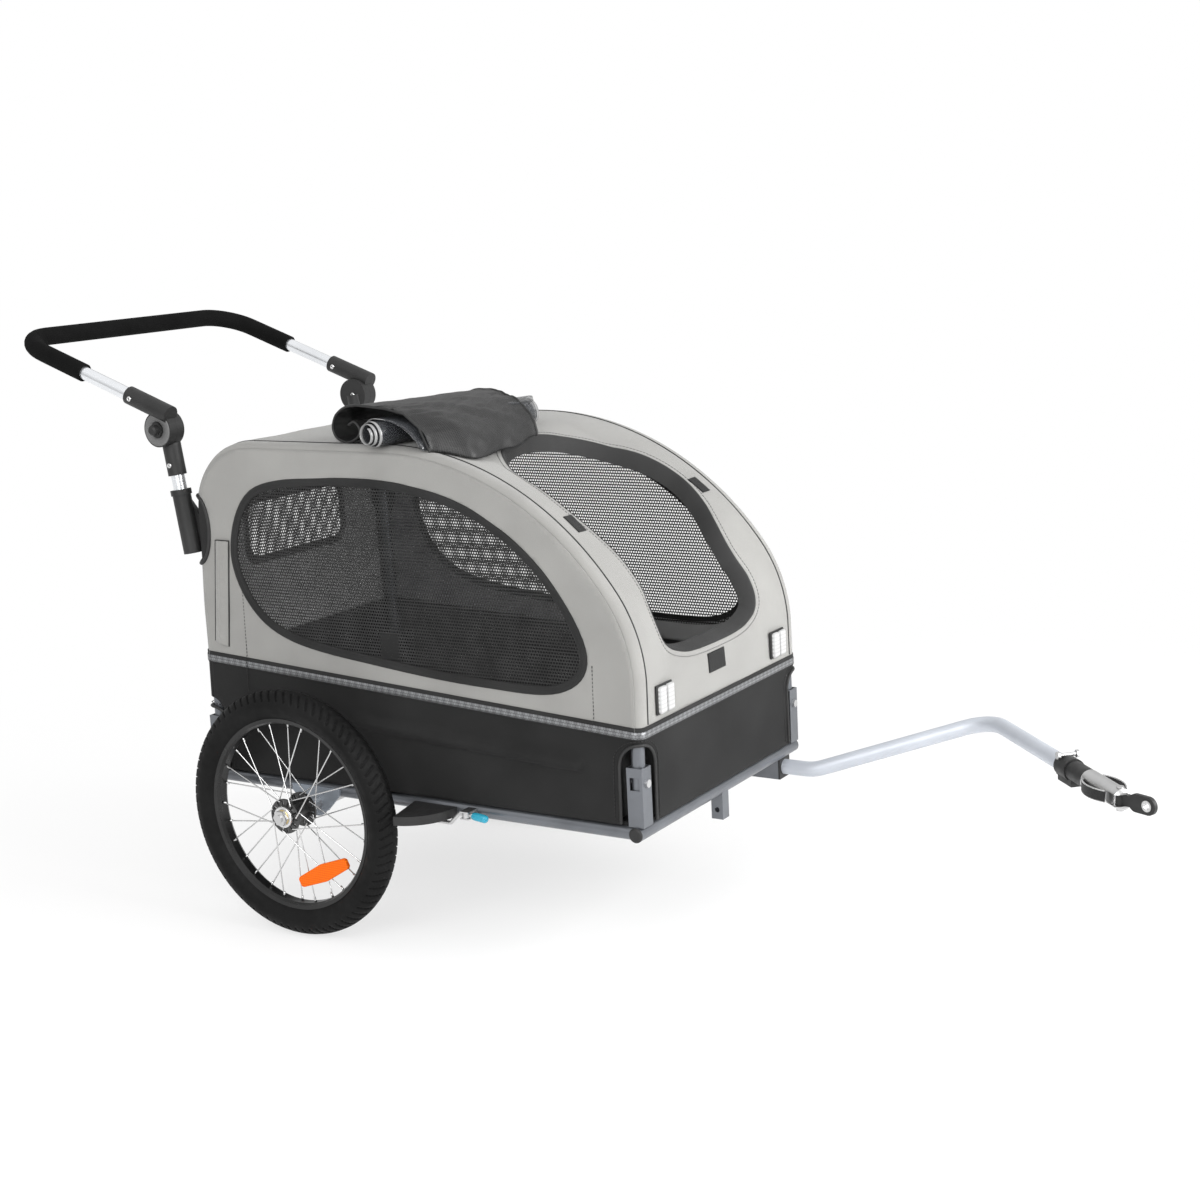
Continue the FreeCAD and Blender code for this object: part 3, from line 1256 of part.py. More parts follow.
def main():
    """Builds every piece, puts the origin under the middle of the part and writes the files."""
    pieces = all_pieces()
    bounds = Part.makeCompound(list(pieces.values())).optimalBoundingBox(False)
    shift = V(-(bounds.XMin + bounds.XMax) / 2, 0, 0)
    os.makedirs("parts", exist_ok=True)
    for name, shape in pieces.items():
        shape.translated(shift).exportStep("parts/" + name + ".step")
    print("pieces", len(pieces), "moved along X by", round(shift.x, 4))
    extents = (bounds.XLength, bounds.YLength, bounds.ZLength)
    print("length, width, height", [round(extent, 2) for extent in extents])
    for label, point in (("eye", hitch_point(pin_reach())), ("joint", V(JOINT_X, 0, JOINT_Z))):
        print(label, [round(c, 4) for c in point + shift])


main()
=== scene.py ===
# %% [markdown]
# # A dog trailer for a bicycle
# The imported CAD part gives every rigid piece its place: tubes, brackets, wheels, handle joints and hitch.
# This lesson dresses that frame. It cuts the cabin's cloth flat and bends it over the hoops, puts tread on
# the tyres, adds the small fittings and gives every surface a node-based finish. The scene is in metres, in
# the part's own frame, and most sizes named here are in millimetres.

# %% Load the frame
import bisect
import json
import math
from functools import partial

import bmesh
import bpy
from mathutils import Matrix, Vector, kdtree, noise


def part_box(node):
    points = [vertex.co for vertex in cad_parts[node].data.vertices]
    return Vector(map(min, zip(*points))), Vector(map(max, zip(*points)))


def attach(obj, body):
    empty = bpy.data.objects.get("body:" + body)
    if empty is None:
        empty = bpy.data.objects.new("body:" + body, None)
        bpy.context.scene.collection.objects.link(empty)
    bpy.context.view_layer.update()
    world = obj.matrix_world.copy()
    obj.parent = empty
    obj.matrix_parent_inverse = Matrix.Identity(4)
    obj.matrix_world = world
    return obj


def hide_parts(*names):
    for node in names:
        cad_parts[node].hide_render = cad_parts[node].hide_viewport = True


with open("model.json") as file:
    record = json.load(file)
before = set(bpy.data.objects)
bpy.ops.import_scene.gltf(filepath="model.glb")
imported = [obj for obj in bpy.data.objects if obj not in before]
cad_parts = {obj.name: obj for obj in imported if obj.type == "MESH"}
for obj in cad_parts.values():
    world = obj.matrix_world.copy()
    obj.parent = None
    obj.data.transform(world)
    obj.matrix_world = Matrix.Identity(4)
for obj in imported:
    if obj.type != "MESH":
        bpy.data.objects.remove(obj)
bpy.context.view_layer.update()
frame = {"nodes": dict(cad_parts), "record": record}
nodes = frame["nodes"]
print("frame nodes", len(nodes))

# %% [markdown]
# ## One way to name places
# The trailer was laid out in millimetres from the floor under its axle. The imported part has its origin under
# the middle of its whole length, so a small helper turns a drawing place into a place in the scene.

# %% Places on the drawing
MM = 0.001
SIDES = (("right", -1), ("left", 1))
axle_low, axle_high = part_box("wheel_axles")
AXLE_X = (axle_low.x + axle_high.x) / 2


def at(x, y, z):
    """A place on the drawing, in millimetres from under the axle, as a point in the scene."""
    return Vector((AXLE_X + x * MM, y * MM, z * MM))


def clamp(share):
    """A share kept between 0 and 1."""
    return max(0.0, min(1.0, share))


print("axle at", round(AXLE_X, 4))

# %% [markdown]
# ## Camera
# The camera stands where the photograph was taken, ahead of the right front corner. Its place, lens and small
# roll were solved from the wheel's ellipse and the frame's straight edges.

# %% Camera
CAMERA_AT = at(2018, -2578, 1136)
CAMERA_YAW = math.radians(32.22)
CAMERA_PITCH = math.radians(11.69)
CAMERA_ROLL = math.radians(-2.94)
CAMERA_LENS, SENSOR_WIDE = 59.22, 36.0


def make_camera():
    """A camera at the photograph's angle."""
    forward = Vector((-math.sin(CAMERA_YAW) * math.cos(CAMERA_PITCH),
                      math.cos(CAMERA_YAW) * math.cos(CAMERA_PITCH), -math.sin(CAMERA_PITCH)))
    level = Vector((math.cos(CAMERA_YAW), math.sin(CAMERA_YAW), 0))
    upright = level.cross(forward)
    right = level * math.cos(CAMERA_ROLL) + upright * math.sin(CAMERA_ROLL)
    up = upright * math.cos(CAMERA_ROLL) - level * math.sin(CAMERA_ROLL)
    data = bpy.data.cameras.new("camera")
    data.lens = CAMERA_LENS
    data.sensor_width = SENSOR_WIDE
    camera = bpy.data.objects.new("camera", data)
    turn = Matrix((right, up, -forward)).transposed().to_4x4()
    camera.matrix_world = Matrix.Translation(CAMERA_AT) @ turn
    bpy.context.scene.collection.objects.link(camera)
    bpy.context.scene.camera = camera
    return camera


print("camera lens", make_camera().data.lens)

# %% [markdown]
# ## Building with nodes
# Floor, surround and finishes are all node trees. A few helpers keep them short: one adds a node, and the
# others do the sums, ranges and mixes that come up again and again.

# %% Node helpers
def fill(tree, node, inputs):
    """Gives a node's inputs their values, or links them to sockets."""
    for key, value in inputs.items():
        if isinstance(value, bpy.types.NodeSocket):
            tree.links.new(value, node.inputs[key])
        else:
            node.inputs[key].default_value = value


def add(tree, kind, inputs=None, **settings):
    """One node with its settings, and its inputs given as values or as links."""
    made = tree.nodes.new(kind)
    for key, value in settings.items():
        setattr(made, key, value)
    fill(tree, made, inputs or {})
    return made


def maths(tree, operation, first, second=0.0, third=0.0):
    """The result of one sum on values or sockets."""
    return add(tree, "ShaderNodeMath", {0: first, 1: second, 2: third}, operation=operation).outputs[0]


def mapped(tree, value, low, high, start=0.0, end=1.0, kind="LINEAR"):
    """A value carried from one range to another."""
    span = {"Value": value, "From Min": start, "From Max": end, "To Min": low, "To Max": high}
    return add(tree, "ShaderNodeMapRange", span, interpolation_type=kind).outputs[0]


def mixed(tree, share, first, second):
    """A colour between two others."""
    return add(tree, "ShaderNodeMix", {0: share, 6: first, 7: second}, data_type="RGBA").outputs[2]


def blended(tree, share, first, second):
    """A number between two others."""
    return add(tree, "ShaderNodeMix", {0: share, 2: first, 3: second}, data_type="FLOAT").outputs[0]


def scaled(tree, vector, factor):
    """A vector or a colour times a number."""
    return add(tree, "ShaderNodeVectorMath", {0: vector, 3: factor}, operation="SCALE").outputs[0]


def parts(tree, vector):
    """The three numbers of a vector."""
    return add(tree, "ShaderNodeSeparateXYZ", {0: vector}).outputs


def blank_material(name):
    """A new material with one principled shader wired to its output, and its node tree."""
    material = bpy.data.materials.new(name)
    material.use_nodes = True
    tree = material.node_tree
    tree.nodes.clear()
    shader = add(tree, "ShaderNodeBsdfPrincipled")
    add(tree, "ShaderNodeOutputMaterial", {"Surface": shader.outputs["BSDF"]})
    return material, tree, shader


print("node helpers ready")

# %% [markdown]
# ## Stage and light
# A pale floor that keeps the trailer's shadow, a white surround, one large soft lamp above the near side and
# one ahead of the nose give the plain light of a product photograph. A surround of one level would leave the
# tubes flat, so what shiny metal mirrors is darker towards the horizon.

# %% Floor and lamps
FLOOR_HALF, FLOOR_NEAR, FLOOR_FAR = 30.0, 0.5, 2.2
FLOOR_TONES, FLOOR_MOTTLE, FLOOR_WHITE = (0.93, 0.96), 0.7, 0.66
HORIZON_LOW, HORIZON_HIGH = 0.05, 0.7
WHITE = (1, 1, 1, 1)


def make_floor():
    """A wide, faintly mottled floor, lit near the trailer and plain white to the camera far from it."""
    bm = bmesh.new()
    bmesh.ops.create_grid(bm, x_segments=2, y_segments=2, size=FLOOR_HALF)
    mesh = bpy.data.meshes.new("floor")
    bm.to_mesh(mesh)
    bm.free()
    floor = bpy.data.objects.new("floor", mesh)
    bpy.context.scene.collection.objects.link(floor)
    material, tree, shader = blank_material("studio_floor")
    place = add(tree, "ShaderNodeTexCoord").outputs["Object"]
    mottle = add(tree, "ShaderNodeTexNoise", {"Vector": place, "Scale": FLOOR_MOTTLE}).outputs[0]
    fill(tree, shader, {"Base Color": mapped(tree, mottle, *FLOOR_TONES), "Roughness": 0.9})
    reach = add(tree, "ShaderNodeVectorMath", {0: place}, operation="LENGTH").outputs["Value"]
    far = mapped(tree, reach, FLOOR_WHITE, 1.0, FLOOR_NEAR, FLOOR_FAR, "SMOOTHSTEP")
    path = add(tree, "ShaderNodeLightPath").outputs
    straight = maths(tree, "MAXIMUM", path["Is Camera Ray"], path["Is Glossy Ray"])
    share = maths(tree, "MULTIPLY", far, straight)
    white = add(tree, "ShaderNodeEmission", {"Color": WHITE, "Strength": 1.0}).outputs[0]
    blend = add(tree, "ShaderNodeMixShader", {0: share, 1: shader.outputs[0], 2: white}).outputs[0]
    tree.links.new(blend, next(n for n in tree.nodes if n.type == "OUTPUT_MATERIAL").inputs["Surface"])
    mesh.materials.append(material)


def make_surround(light, seen, horizon):
    """A white surround: a level for lighting, one for the camera, and a darker horizon for shiny metal."""
    world = bpy.data.worlds.new("surround")
    world.use_nodes = True
    tree = world.node_tree
    tree.nodes.clear()
    path = add(tree, "ShaderNodeLightPath").outputs
    height = parts(tree, add(tree, "ShaderNodeTexCoord").outputs["Generated"])[2]
    mirrored = mapped(tree, height, horizon, seen, HORIZON_LOW, HORIZON_HIGH)
    lit = blended(tree, path["Is Glossy Ray"], light, mirrored)
    straight = maths(tree, "MAXIMUM", path["Is Camera Ray"], path["Is Transmission Ray"])
    glow = {"Color": WHITE, "Strength": blended(tree, straight, lit, seen)}
    surface = add(tree, "ShaderNodeBackground", glow).outputs[0]
    add(tree, "ShaderNodeOutputWorld", {"Surface": surface})
    bpy.context.scene.world = world


def make_lamp(name, place, target, size, power):
    """A square soft lamp that looks at a point."""
    data = bpy.data.lights.new(name, "AREA")
    data.size = size
    data.energy = power
    lamp = bpy.data.objects.new(name, data)
    lamp.location = place
    lamp.rotation_euler = (target - place).to_track_quat("-Z", "Y").to_euler()
    bpy.context.scene.collection.objects.link(lamp)


MIDDLE = at(250, 0, 450)
make_floor()
make_surround(light=0.78, seen=1.0, horizon=0.5)
make_lamp("key_lamp", at(980, -3160, 2080), MIDDLE, size=2.4, power=74)
make_lamp("nose_lamp", at(3190, 320, 1560), MIDDLE, size=2.0, power=120)
bpy.context.scene.view_settings.view_transform = "Standard"
print("lamps", len(bpy.data.lights))

# %% [markdown]
# ## Shared surface effects
# Few things have one flat colour. Four small node groups carry the effects that many finishes share: a cloudy
# change of tone, a fine moulded or sprayed grain, a woven thread pattern measured on the flat cloth, and the
# holes of a net.

# %% Effect groups
VECTOR, NUMBER, COLOUR = "NodeSocketVector", "NodeSocketFloat", "NodeSocketColor"
NOISE_LOW, NOISE_HIGH = 0.3, 0.7
BROAD_SHARE = 0.06


def new_group(name, inputs, outputs):
    """An empty shader group with its sockets, and the nodes that stand for its two ends."""
    group = bpy.data.node_groups.new(name, "ShaderNodeTree")
    for label, kind in inputs.items():
        group.interface.new_socket(label, in_out="INPUT", socket_type=kind)
    for label, kind in outputs.items():
        group.interface.new_socket(label, in_out="OUTPUT", socket_type=kind)
    return group, add(group, "NodeGroupInput").outputs, add(group, "NodeGroupOutput").inputs


def cloud(tree, place, scale, detail):
    """Smooth noise over a surface."""
    return add(tree, "ShaderNodeTexNoise", {"Vector": place, "Scale": scale, "Detail": detail}).outputs[0]


def cloudy_group():
    """A tone that drifts between two colours over a surface."""
    sockets = {"Vector": VECTOR, "Scale": NUMBER, "Dark": COLOUR, "Light": COLOUR}
    group, given, result = new_group("cloudy_tone", sockets, {"Color": COLOUR, "Amount": NUMBER})
    level = mapped(group, cloud(group, given["Vector"], given["Scale"], 5.0), 0.0, 1.0, NOISE_LOW, NOISE_HIGH)
    group.links.new(mixed(group, level, given["Dark"], given["Light"]), result["Color"])
    group.links.new(level, result["Amount"])
    return group


def grain_group():
    """Fine bumps of a moulded or sprayed skin, as a height and as a change in roughness."""
    sockets = {"Vector": VECTOR, "Scale": NUMBER, "Smooth": NUMBER, "Rough": NUMBER}
    group, given, result = new_group("fine_grain", sockets, {"Height": NUMBER, "Roughness": NUMBER})
    fine = cloud(group, given["Vector"], given["Scale"], 3.0)
    broad = cloud(group, given["Vector"], maths(group, "MULTIPLY", given["Scale"], BROAD_SHARE), 4.0)
    rough = mapped(group, broad, given["Smooth"], given["Rough"], NOISE_LOW, NOISE_HIGH)
    group.links.new(fine, result["Height"])
    group.links.new(rough, result["Roughness"])
    return group


def weave_group():
    """Over-and-under threads on flat cloth coordinates."""
    sockets = {"Vector": VECTOR, "Threads": NUMBER}
    group, given, result = new_group("woven_thread", sockets, {"Height": NUMBER})
    part = parts(group, scaled(group, given["Vector"], given["Threads"]))
    waves = [maths(group, "SINE", maths(group, "MULTIPLY", part[k], math.pi)) for k in (0, 1)]
    weft, warp = (maths(group, "ABSOLUTE", wave) for wave in waves)
    cell = maths(group, "ADD", maths(group, "FLOOR", part[0]), maths(group, "FLOOR", part[1]))
    over = maths(group, "PINGPONG", cell, 1.0)
    group.links.new(blended(group, over, weft, warp), result["Height"])
    return group


def net_group():
    """The threads of a fine net, 1 on a thread and 0 in a hole."""
    sockets = {"Vector": VECTOR, "Holes": NUMBER, "Thread": NUMBER}
    group, given, result = new_group("net_thread", sockets, {"Thread": NUMBER})
    part = parts(group, scaled(group, given["Vector"], given["Holes"]))
    row = maths(group, "MULTIPLY", maths(group, "FLOOR", part[1]), 0.5)
    across = maths(group, "SUBTRACT", maths(group, "FRACT", maths(group, "ADD", part[0], row)), 0.5)
    along = maths(group, "SUBTRACT", maths(group, "FRACT", part[1]), 0.5)
    squares = [maths(group, "MULTIPLY", off, off) for off in (across, along)]
    reach = maths(group, "SQRT", maths(group, "ADD", *squares))
    group.links.new(maths(group, "GREATER_THAN", reach, given["Thread"]), result["Thread"])
    return group


CLOUDY = cloudy_group()
GRAIN = grain_group()
WEAVE = weave_group()
NET = net_group()
print("effect groups", [group.name for group in bpy.data.node_groups])

# %% [markdown]
# ## Finishes
# Most finishes are one row that names two tones, a gloss and a grain. Metals and plastics read their grain
# from the object's own coordinates, and cloth reads its thread pattern from the flat cloth it was cut from.

# %% Hard finishes
# PRISM_GLINT_GAIN sets how much lighter the prism peaks are painted: painted glints.
DRIFT, PRISM_DEPTH, PRISM_GLINT_GAIN = 14.0, 0.0005, 4.0


def use(tree, group, inputs):
    """A shared effect placed in a material."""
    return add(tree, "ShaderNodeGroup", inputs, node_tree=group).outputs


def cloudy(tree, place, scale, dark, light):
    """The drifting tone, placed in a material."""
    return use(tree, CLOUDY, {"Vector": place, "Scale": scale, "Dark": dark, "Light": light})


def bump(tree, height, distance, strength=0.6):
    """A height turned into a surface normal."""
    given = {"Height": height, "Distance": distance, "Strength": strength}
    return add(tree, "ShaderNodeBump", given).outputs[0]


def shade(level, tint=(1.0, 1.0, 1.0)):
    """A grey level with a slight tint, as a colour."""
    return (level * tint[0], level * tint[1], level * tint[2], 1.0)


def hard_finish(name, dark, light, metallic, smooth, rough,
                grain_scale=900.0, grain_height=0.00004, shine=0.5):
    """A metal or plastic with a drifting tone and a fine grain."""
    material, tree, shader = blank_material(name)
    place = add(tree, "ShaderNodeTexCoord").outputs["Object"]
    tone = cloudy(tree, place, DRIFT, dark, light)
    grain = use(tree, GRAIN, {"Vector": place, "Scale": grain_scale, "Smooth": smooth, "Rough": rough})
    fill(tree, shader, {"Base Color": tone["Color"], "Roughness": grain["Roughness"],
                        "Normal": bump(tree, grain["Height"], grain_height),
                        "Metallic": metallic, "Specular IOR Level": shine})
    return material


def lens_finish(name, dark, light, ribs, painted_glow_share):
    """A clear moulded lens over prisms: a fine grid of bumps, painted glints on their peaks and a faint
    painted glow.
    """
    material, tree, shader = blank_material(name)
    place = add(tree, "ShaderNodeTexCoord").outputs["Object"]
    part = parts(tree, scaled(tree, place, ribs))
    prisms = maths(tree, "MULTIPLY", *(maths(tree, "PINGPONG", part[k], 0.5) for k in (0, 2)))
    # Lighter towards each prism's peak as painted glints; the emission is a faint painted glow, as a reflector
    # is no lamp.
    tone = mixed(tree, maths(tree, "MULTIPLY", prisms, PRISM_GLINT_GAIN), dark, light)
    fill(tree, shader, {"Base Color": tone, "Normal": bump(tree, prisms, PRISM_DEPTH),
                        "Emission Color": scaled(tree, tone, painted_glow_share), "Emission Strength": 1.0,
                        "Roughness": 0.3, "Specular IOR Level": 0.12})
    return material


COOL, BLUISH = (0.97, 0.99, 1.02), (0.94, 0.99, 1.08)
BLUE_GREY = (0.24, 0.27, 0.31, 1), (0.30, 0.33, 0.37, 1)
YELLOW_ZINC = (0.55, 0.42, 0.18, 1), (0.66, 0.52, 0.24, 1)
BLUE = (0.01, 0.22, 0.34, 1), (0.02, 0.30, 0.42, 1)
ORANGE = (0.62, 0.085, 0.002, 1), (0.86, 0.19, 0.006, 1)
# A row holds the name, dark and light tone, metal, least and most roughness, grain scale and height, shine.
HARD = {
    "frame_paint": ("silver_tube_paint", shade(0.14, BLUISH), shade(0.185, BLUISH), 0.7, 0.28, 0.4),
    "tow_steel": ("pale_tow_paint", shade(0.48, BLUISH), shade(0.54, BLUISH), 0.3, 0.38, 0.5),
    "bright_tube": ("bright_tube", shade(0.78, COOL), shade(0.88, COOL), 0.9, 0.2, 0.3),
    "bare_steel": ("zinc_steel", shade(0.52), shade(0.66), 1.0, 0.28, 0.42, 500.0),
    "bracket_paint": ("blue_grey_paint", *BLUE_GREY, 0.5, 0.35, 0.5),
    "black_plastic": ("black_moulding", shade(0.012), shade(0.022), 0.0, 0.42, 0.58, 1400.0, 0.00006, 0.35),
    "grey_plastic": ("grey_moulding", shade(0.10), shade(0.14), 0.0, 0.4, 0.55, 1400.0, 0.00005, 0.3),
    "tyre_rubber": ("tyre_rubber", shade(0.004), shade(0.008), 0.0, 0.5, 0.7, 1200.0, 0.00008, 0.13),
    "rim_black": ("black_rim", shade(0.012), shade(0.020), 0.3, 0.25, 0.38),
    "hub_grey": ("dark_hub", shade(0.05), shade(0.09), 0.8, 0.3, 0.45),
    "spoke_steel": ("spoke_wire", shade(0.62), shade(0.76), 1.0, 0.2, 0.32, 300.0),
    "brass": ("yellow_zinc", *YELLOW_ZINC, 1.0, 0.28, 0.4),
    "blue_dip": ("blue_dipped_grip", *BLUE, 0.0, 0.3, 0.45),
    "foam": ("closed_cell_foam", shade(0.004), shade(0.007), 0.0, 0.78, 0.92, 1500.0, 0.00025, 0.06),
    "floor_board": ("floor_lining", shade(0.010), shade(0.018), 0.0, 0.75, 0.9, 800.0, 0.0002, 0.1),
}
FINISH = {slot: hard_finish(*look) for slot, look in HARD.items()}
FINISH["orange_lens"] = lens_finish("orange_prisms", *ORANGE, 260.0, 0.1)
FINISH["clear_lens"] = lens_finish("clear_prisms", shade(0.36), shade(0.72), 160.0, 0.04)
print("hard finishes", len(FINISH))

# %% [markdown]
# Cloth needs a thread pattern that follows the cut piece, so its shaders read the flat layout kept with each
# sheet. The net is the same idea with holes, and the clear sheet is a thin glossy film whose taped ends are
# light grey.

# %% Cloth finishes
# THREAD_SHADING scales the cloth's colour by thread height: painted shade in the gaps, a little painted light
# on the thread tops.
THREAD_SHADING, THREAD_DEPTH = (0.78, 1.08), 0.0003
CLOTH_DRIFT, NET_DRIFT, FILM_DRIFT, TAPE_DRIFT = 9.0, 30.0, 25.0, 6.0
FILM_HAZE, FILM_TAPE = (0.42, 0.6), 0.24
TAPE_WAVE, TAPE_BLOCKS, TAPE_THREAD = 24.0, (0.72, 1.15), 0.46


def cloth_material(name):
    """A blank material with the flat layout of its sheet."""
    material, tree, shader = blank_material(name)
    return material, tree, shader, add(tree, "ShaderNodeUVMap", uv_map="flat").outputs[0]


def cloth_finish(name, dark, light, threads, rough, sheen=0.25, shine=0.4):
    """Woven cloth: a drifting tone, painted shade between threads, painted light on their tops, a soft sheen.
    """
    material, tree, shader, flat = cloth_material(name)
    tone = cloudy(tree, flat, CLOTH_DRIFT, dark, light)["Color"]
    thread = use(tree, WEAVE, {"Vector": flat, "Threads": threads})["Height"]
    # The thread height also scales the colour: painted shade between the threads and a little painted light on
    # their tops.
    fill(tree, shader, {"Base Color": scaled(tree, tone, mapped(tree, thread, *THREAD_SHADING)),
                        "Normal": bump(tree, thread, THREAD_DEPTH, 0.5), "Roughness": rough,
                        "Sheen Weight": sheen, "Specular IOR Level": shine})
    return material


def net_finish(name, dark, light, holes, thread, cover, shine):
    """A net: opaque threads, and holes that let most light through."""
    material, tree, shader, flat = cloth_material(name)
    tone = cloudy(tree, flat, NET_DRIFT, dark, light)["Color"]
    strand = use(tree, NET, {"Vector": flat, "Holes": holes, "Thread": thread})["Thread"]
    fill(tree, shader, {"Base Color": tone, "Alpha": mapped(tree, strand, cover, 1.0),
                        "Roughness": 0.5, "Specular IOR Level": shine})
    return material


def film_finish(name, taped_from, taped_to):
    """A clear film that is edged with light grey tape outside two lines on its flat layout."""
    material, tree, shader, flat = cloth_material(name)
    along = parts(tree, flat)[1]
    before = maths(tree, "LESS_THAN", along, taped_from)
    tape = maths(tree, "MAXIMUM", before, maths(tree, "GREATER_THAN", along, taped_to))
    haze = cloudy(tree, flat, FILM_DRIFT, shade(0.03, BLUISH), shade(0.08, BLUISH))
    clear = mapped(tree, haze["Amount"], *FILM_HAZE)
    fill(tree, shader, {"Base Color": mixed(tree, tape, haze["Color"], shade(FILM_TAPE)),
                        "Alpha": maths(tree, "MAXIMUM", tape, clear), "Roughness": 0.12, "Coat Weight": 0.5})
    return material


def tape_finish(name, dark, light, cells):
    """Reflective tape: pale, with a fine honeycomb, crosswise blocks and a soft metallic shine."""
    material, tree, shader, flat = cloth_material(name)
    strand = use(tree, NET, {"Vector": flat, "Holes": cells, "Thread": TAPE_THREAD})["Thread"]
    drift = cloudy(tree, flat, TAPE_DRIFT, shade(0.85), shade(1.0))["Color"]
    layers = {0: mixed(tree, strand, light, dark), 1: drift}
    colour = add(tree, "ShaderNodeVectorMath", layers, operation="MULTIPLY").outputs[0]
    bands = {"Vector": flat, "Scale": TAPE_WAVE}
    wave = add(tree, "ShaderNodeTexWave", bands, bands_direction="X").outputs[1]
    fill(tree, shader, {"Base Color": scaled(tree, colour, mapped(tree, wave, *TAPE_BLOCKS)),
                        "Roughness": 0.35, "Metallic": 0.3})
    return material


CANVAS = (0.235, 0.232, 0.222, 1), (0.275, 0.272, 0.26, 1)
# A row holds the name, dark and light tone, threads to the metre, roughness, sheen and shine.
CLOTH = {
    "grey_cloth": ("grey_canvas", *CANVAS, 900.0, 0.8),
    "black_cloth": ("black_canvas", shade(0.009), shade(0.015), 900.0, 0.7, 0.02, 0.2),
    "tape": ("binding_tape", shade(0.016), shade(0.026), 1300.0, 0.75, 0.03, 0.2),
    "inner_tape": ("zip_tape", shade(0.022), shade(0.04), 1100.0, 0.8, 0.05, 0.2),
    "webbing": ("nylon_webbing", shade(0.010), shade(0.02), 700.0, 0.6, 0.03, 0.3),
    "lining": ("black_lining", shade(0.022), shade(0.034), 900.0, 0.6, 0.02, 0.2),
    "pale_lining": ("grey_lining", shade(0.24), shade(0.31), 900.0, 0.7, 0.02, 0.2),
    "patch": ("touch_patch", shade(0.016), shade(0.03), 1600.0, 0.9, 0.05, 0.15),
}
FINISH.update({slot: cloth_finish(*look) for slot, look in CLOTH.items()})
FINISH["net"] = net_finish("window_net", shade(0.018), shade(0.03), 205.0, 0.335, 0.1, 0.2)
FINISH["cover_net"] = net_finish("cover_net", shade(0.011), shade(0.021), 420.0, 0.34, 0.72, 0.5)
FINISH["reflective_tape"] = tape_finish("silver_tape", shade(0.095, COOL), shade(0.21, COOL), 220.0)
FINISH["clear_vinyl"] = film_finish("clear_film", 0.005, 0.323)
print("finishes", len(FINISH))

# %% [markdown]
# ## The frame's own pieces
# The tubes, brackets, hubs and hitch keep their CAD shape, because those are exact already. They only need a
# finish each, taken from the material slot that the record names, with a few pieces set apart.

# %% Finish on the frame's pieces
SET_APART = {"right_hub": "hub_grey", "left_hub": "hub_grey", "handle_bar": "bright_tube",
             "handle_stubs": "bright_tube", "stand_bracket": "frame_paint", "tow_receiver": "frame_paint"}


def dress_frame():
    """Gives every CAD piece its finish."""
    for part in frame["record"]["subparts"]:
        finish = FINISH[SET_APART.get(part["node"], part["material_slot"])]
        mesh = nodes[part["node"]].data
        mesh.materials.clear()
        mesh.materials.append(finish)
    return len(frame["record"]["subparts"])


print("dressed", dress_frame())

# %% [markdown]
# ## Making pieces
# Every new piece is a bmesh that becomes an object at the origin, with its place in the mesh. It rides on a
# CAD body, may stand in for a CAD node, and takes a finish by its name.

# %% Piece helpers
def piece(name, bm, finish, slot, body="frame", instead=(), thickness=0.0, smooth=True, lining=None):
    """An object from a bmesh, with its finish, body and the CAD nodes it stands for; cloth may be lined."""
    mesh = bpy.data.meshes.new(name)
    bm.to_mesh(mesh)
    bm.free()
    mesh.materials.append(FINISH[finish])
    for polygon in mesh.polygons:
        polygon.use_smooth = smooth
    obj = bpy.data.objects.new(name, mesh)
    bpy.context.scene.collection.objects.link(obj)
    if thickness:
        shell = obj.modifiers.new("cloth thickness", "SOLIDIFY")
        shell.thickness = thickness
        shell.offset = 0
        if lining:
            mesh.materials.append(FINISH[lining])
            shell.material_offset = 1
    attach(obj, body)
    if instead:
        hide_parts(*instead)
    return obj


def tube_along(name, points, radius, finish, slot, body="frame", closed=False, rings=8):
    """A round cord or rod along points in the scene, its radius in millimetres, made from a curve."""
    data = bpy.data.curves.new(name, "CURVE")
    data.dimensions = "3D"
    data.bevel_depth = radius * MM
    data.bevel_resolution = max(1, rings // 4)
    data.use_fill_caps = not closed
    spline = data.splines.new("POLY")
    spline.points.add(len(points) - 1)
    for spot, point in zip(spline.points, points):
        spot.co = (*point, 1)
    spline.use_cyclic_u = closed
    shape = bpy.data.objects.new(name + "_path", data)
    mesh = bpy.data.meshes.new_from_object(shape)
    bpy.data.objects.remove(shape)
    bm = bmesh.new()
    bm.from_mesh(mesh)
    bpy.data.meshes.remove(mesh)
    return piece(name, bm, finish, slot, body)


def turned(profile, centre, axis, steps=48):
    """A turned shape: a profile of (radius, along) in millimetres, spun once about an axis."""
    bm = bmesh.new()
    axis = Vector(axis).normalized()
    side = axis.orthogonal().normalized()
    verts = [bm.verts.new(centre + (side * r + axis * t) * MM) for r, t in profile]
    edges = [bm.edges.new(pair) for pair in zip(verts, verts[1:])]
    bmesh.ops.spin(bm, geom=verts + edges, cent=centre, axis=axis, angle=2 * math.pi, steps=steps,
                   use_merge=True)
    bmesh.ops.remove_doubles(bm, verts=bm.verts, dist=1e-6)
    bmesh.ops.recalc_face_normals(bm, faces=bm.faces)
    return bm


def round_edges(bm, radius, segments=2):
    """Rounds every edge of a block."""
    bmesh.ops.bevel(bm, geom=list(bm.edges), offset=radius * MM, segments=segments, profile=0.5,
                    affect="EDGES", material=-1)


print("piece helpers ready")

# %% [markdown]
# Cloth is cut before it is bent. A sheet starts as a flat grid in millimetres, loses what lies outside its
# outline or inside a hole, keeps that flat layout for its threads, and only then is carried to its place.

# %% Cloth helpers
SNAP, WELD, WRINKLE_SEED = 1.3, 1e-5, 3.7


def keep_flat(bm):
    """Keeps the cut cloth's flat layout, in metres, as the sheet's own coordinates, and gives its area."""
    layer = bm.loops.layers.uv.new("flat")
    for face in bm.faces:
        for loop in face.loops:
            loop[layer].uv = (loop.vert.co.x * MM, loop.vert.co.y * MM)
    return sum(face.calc_area() for face in bm.faces) * MM * MM


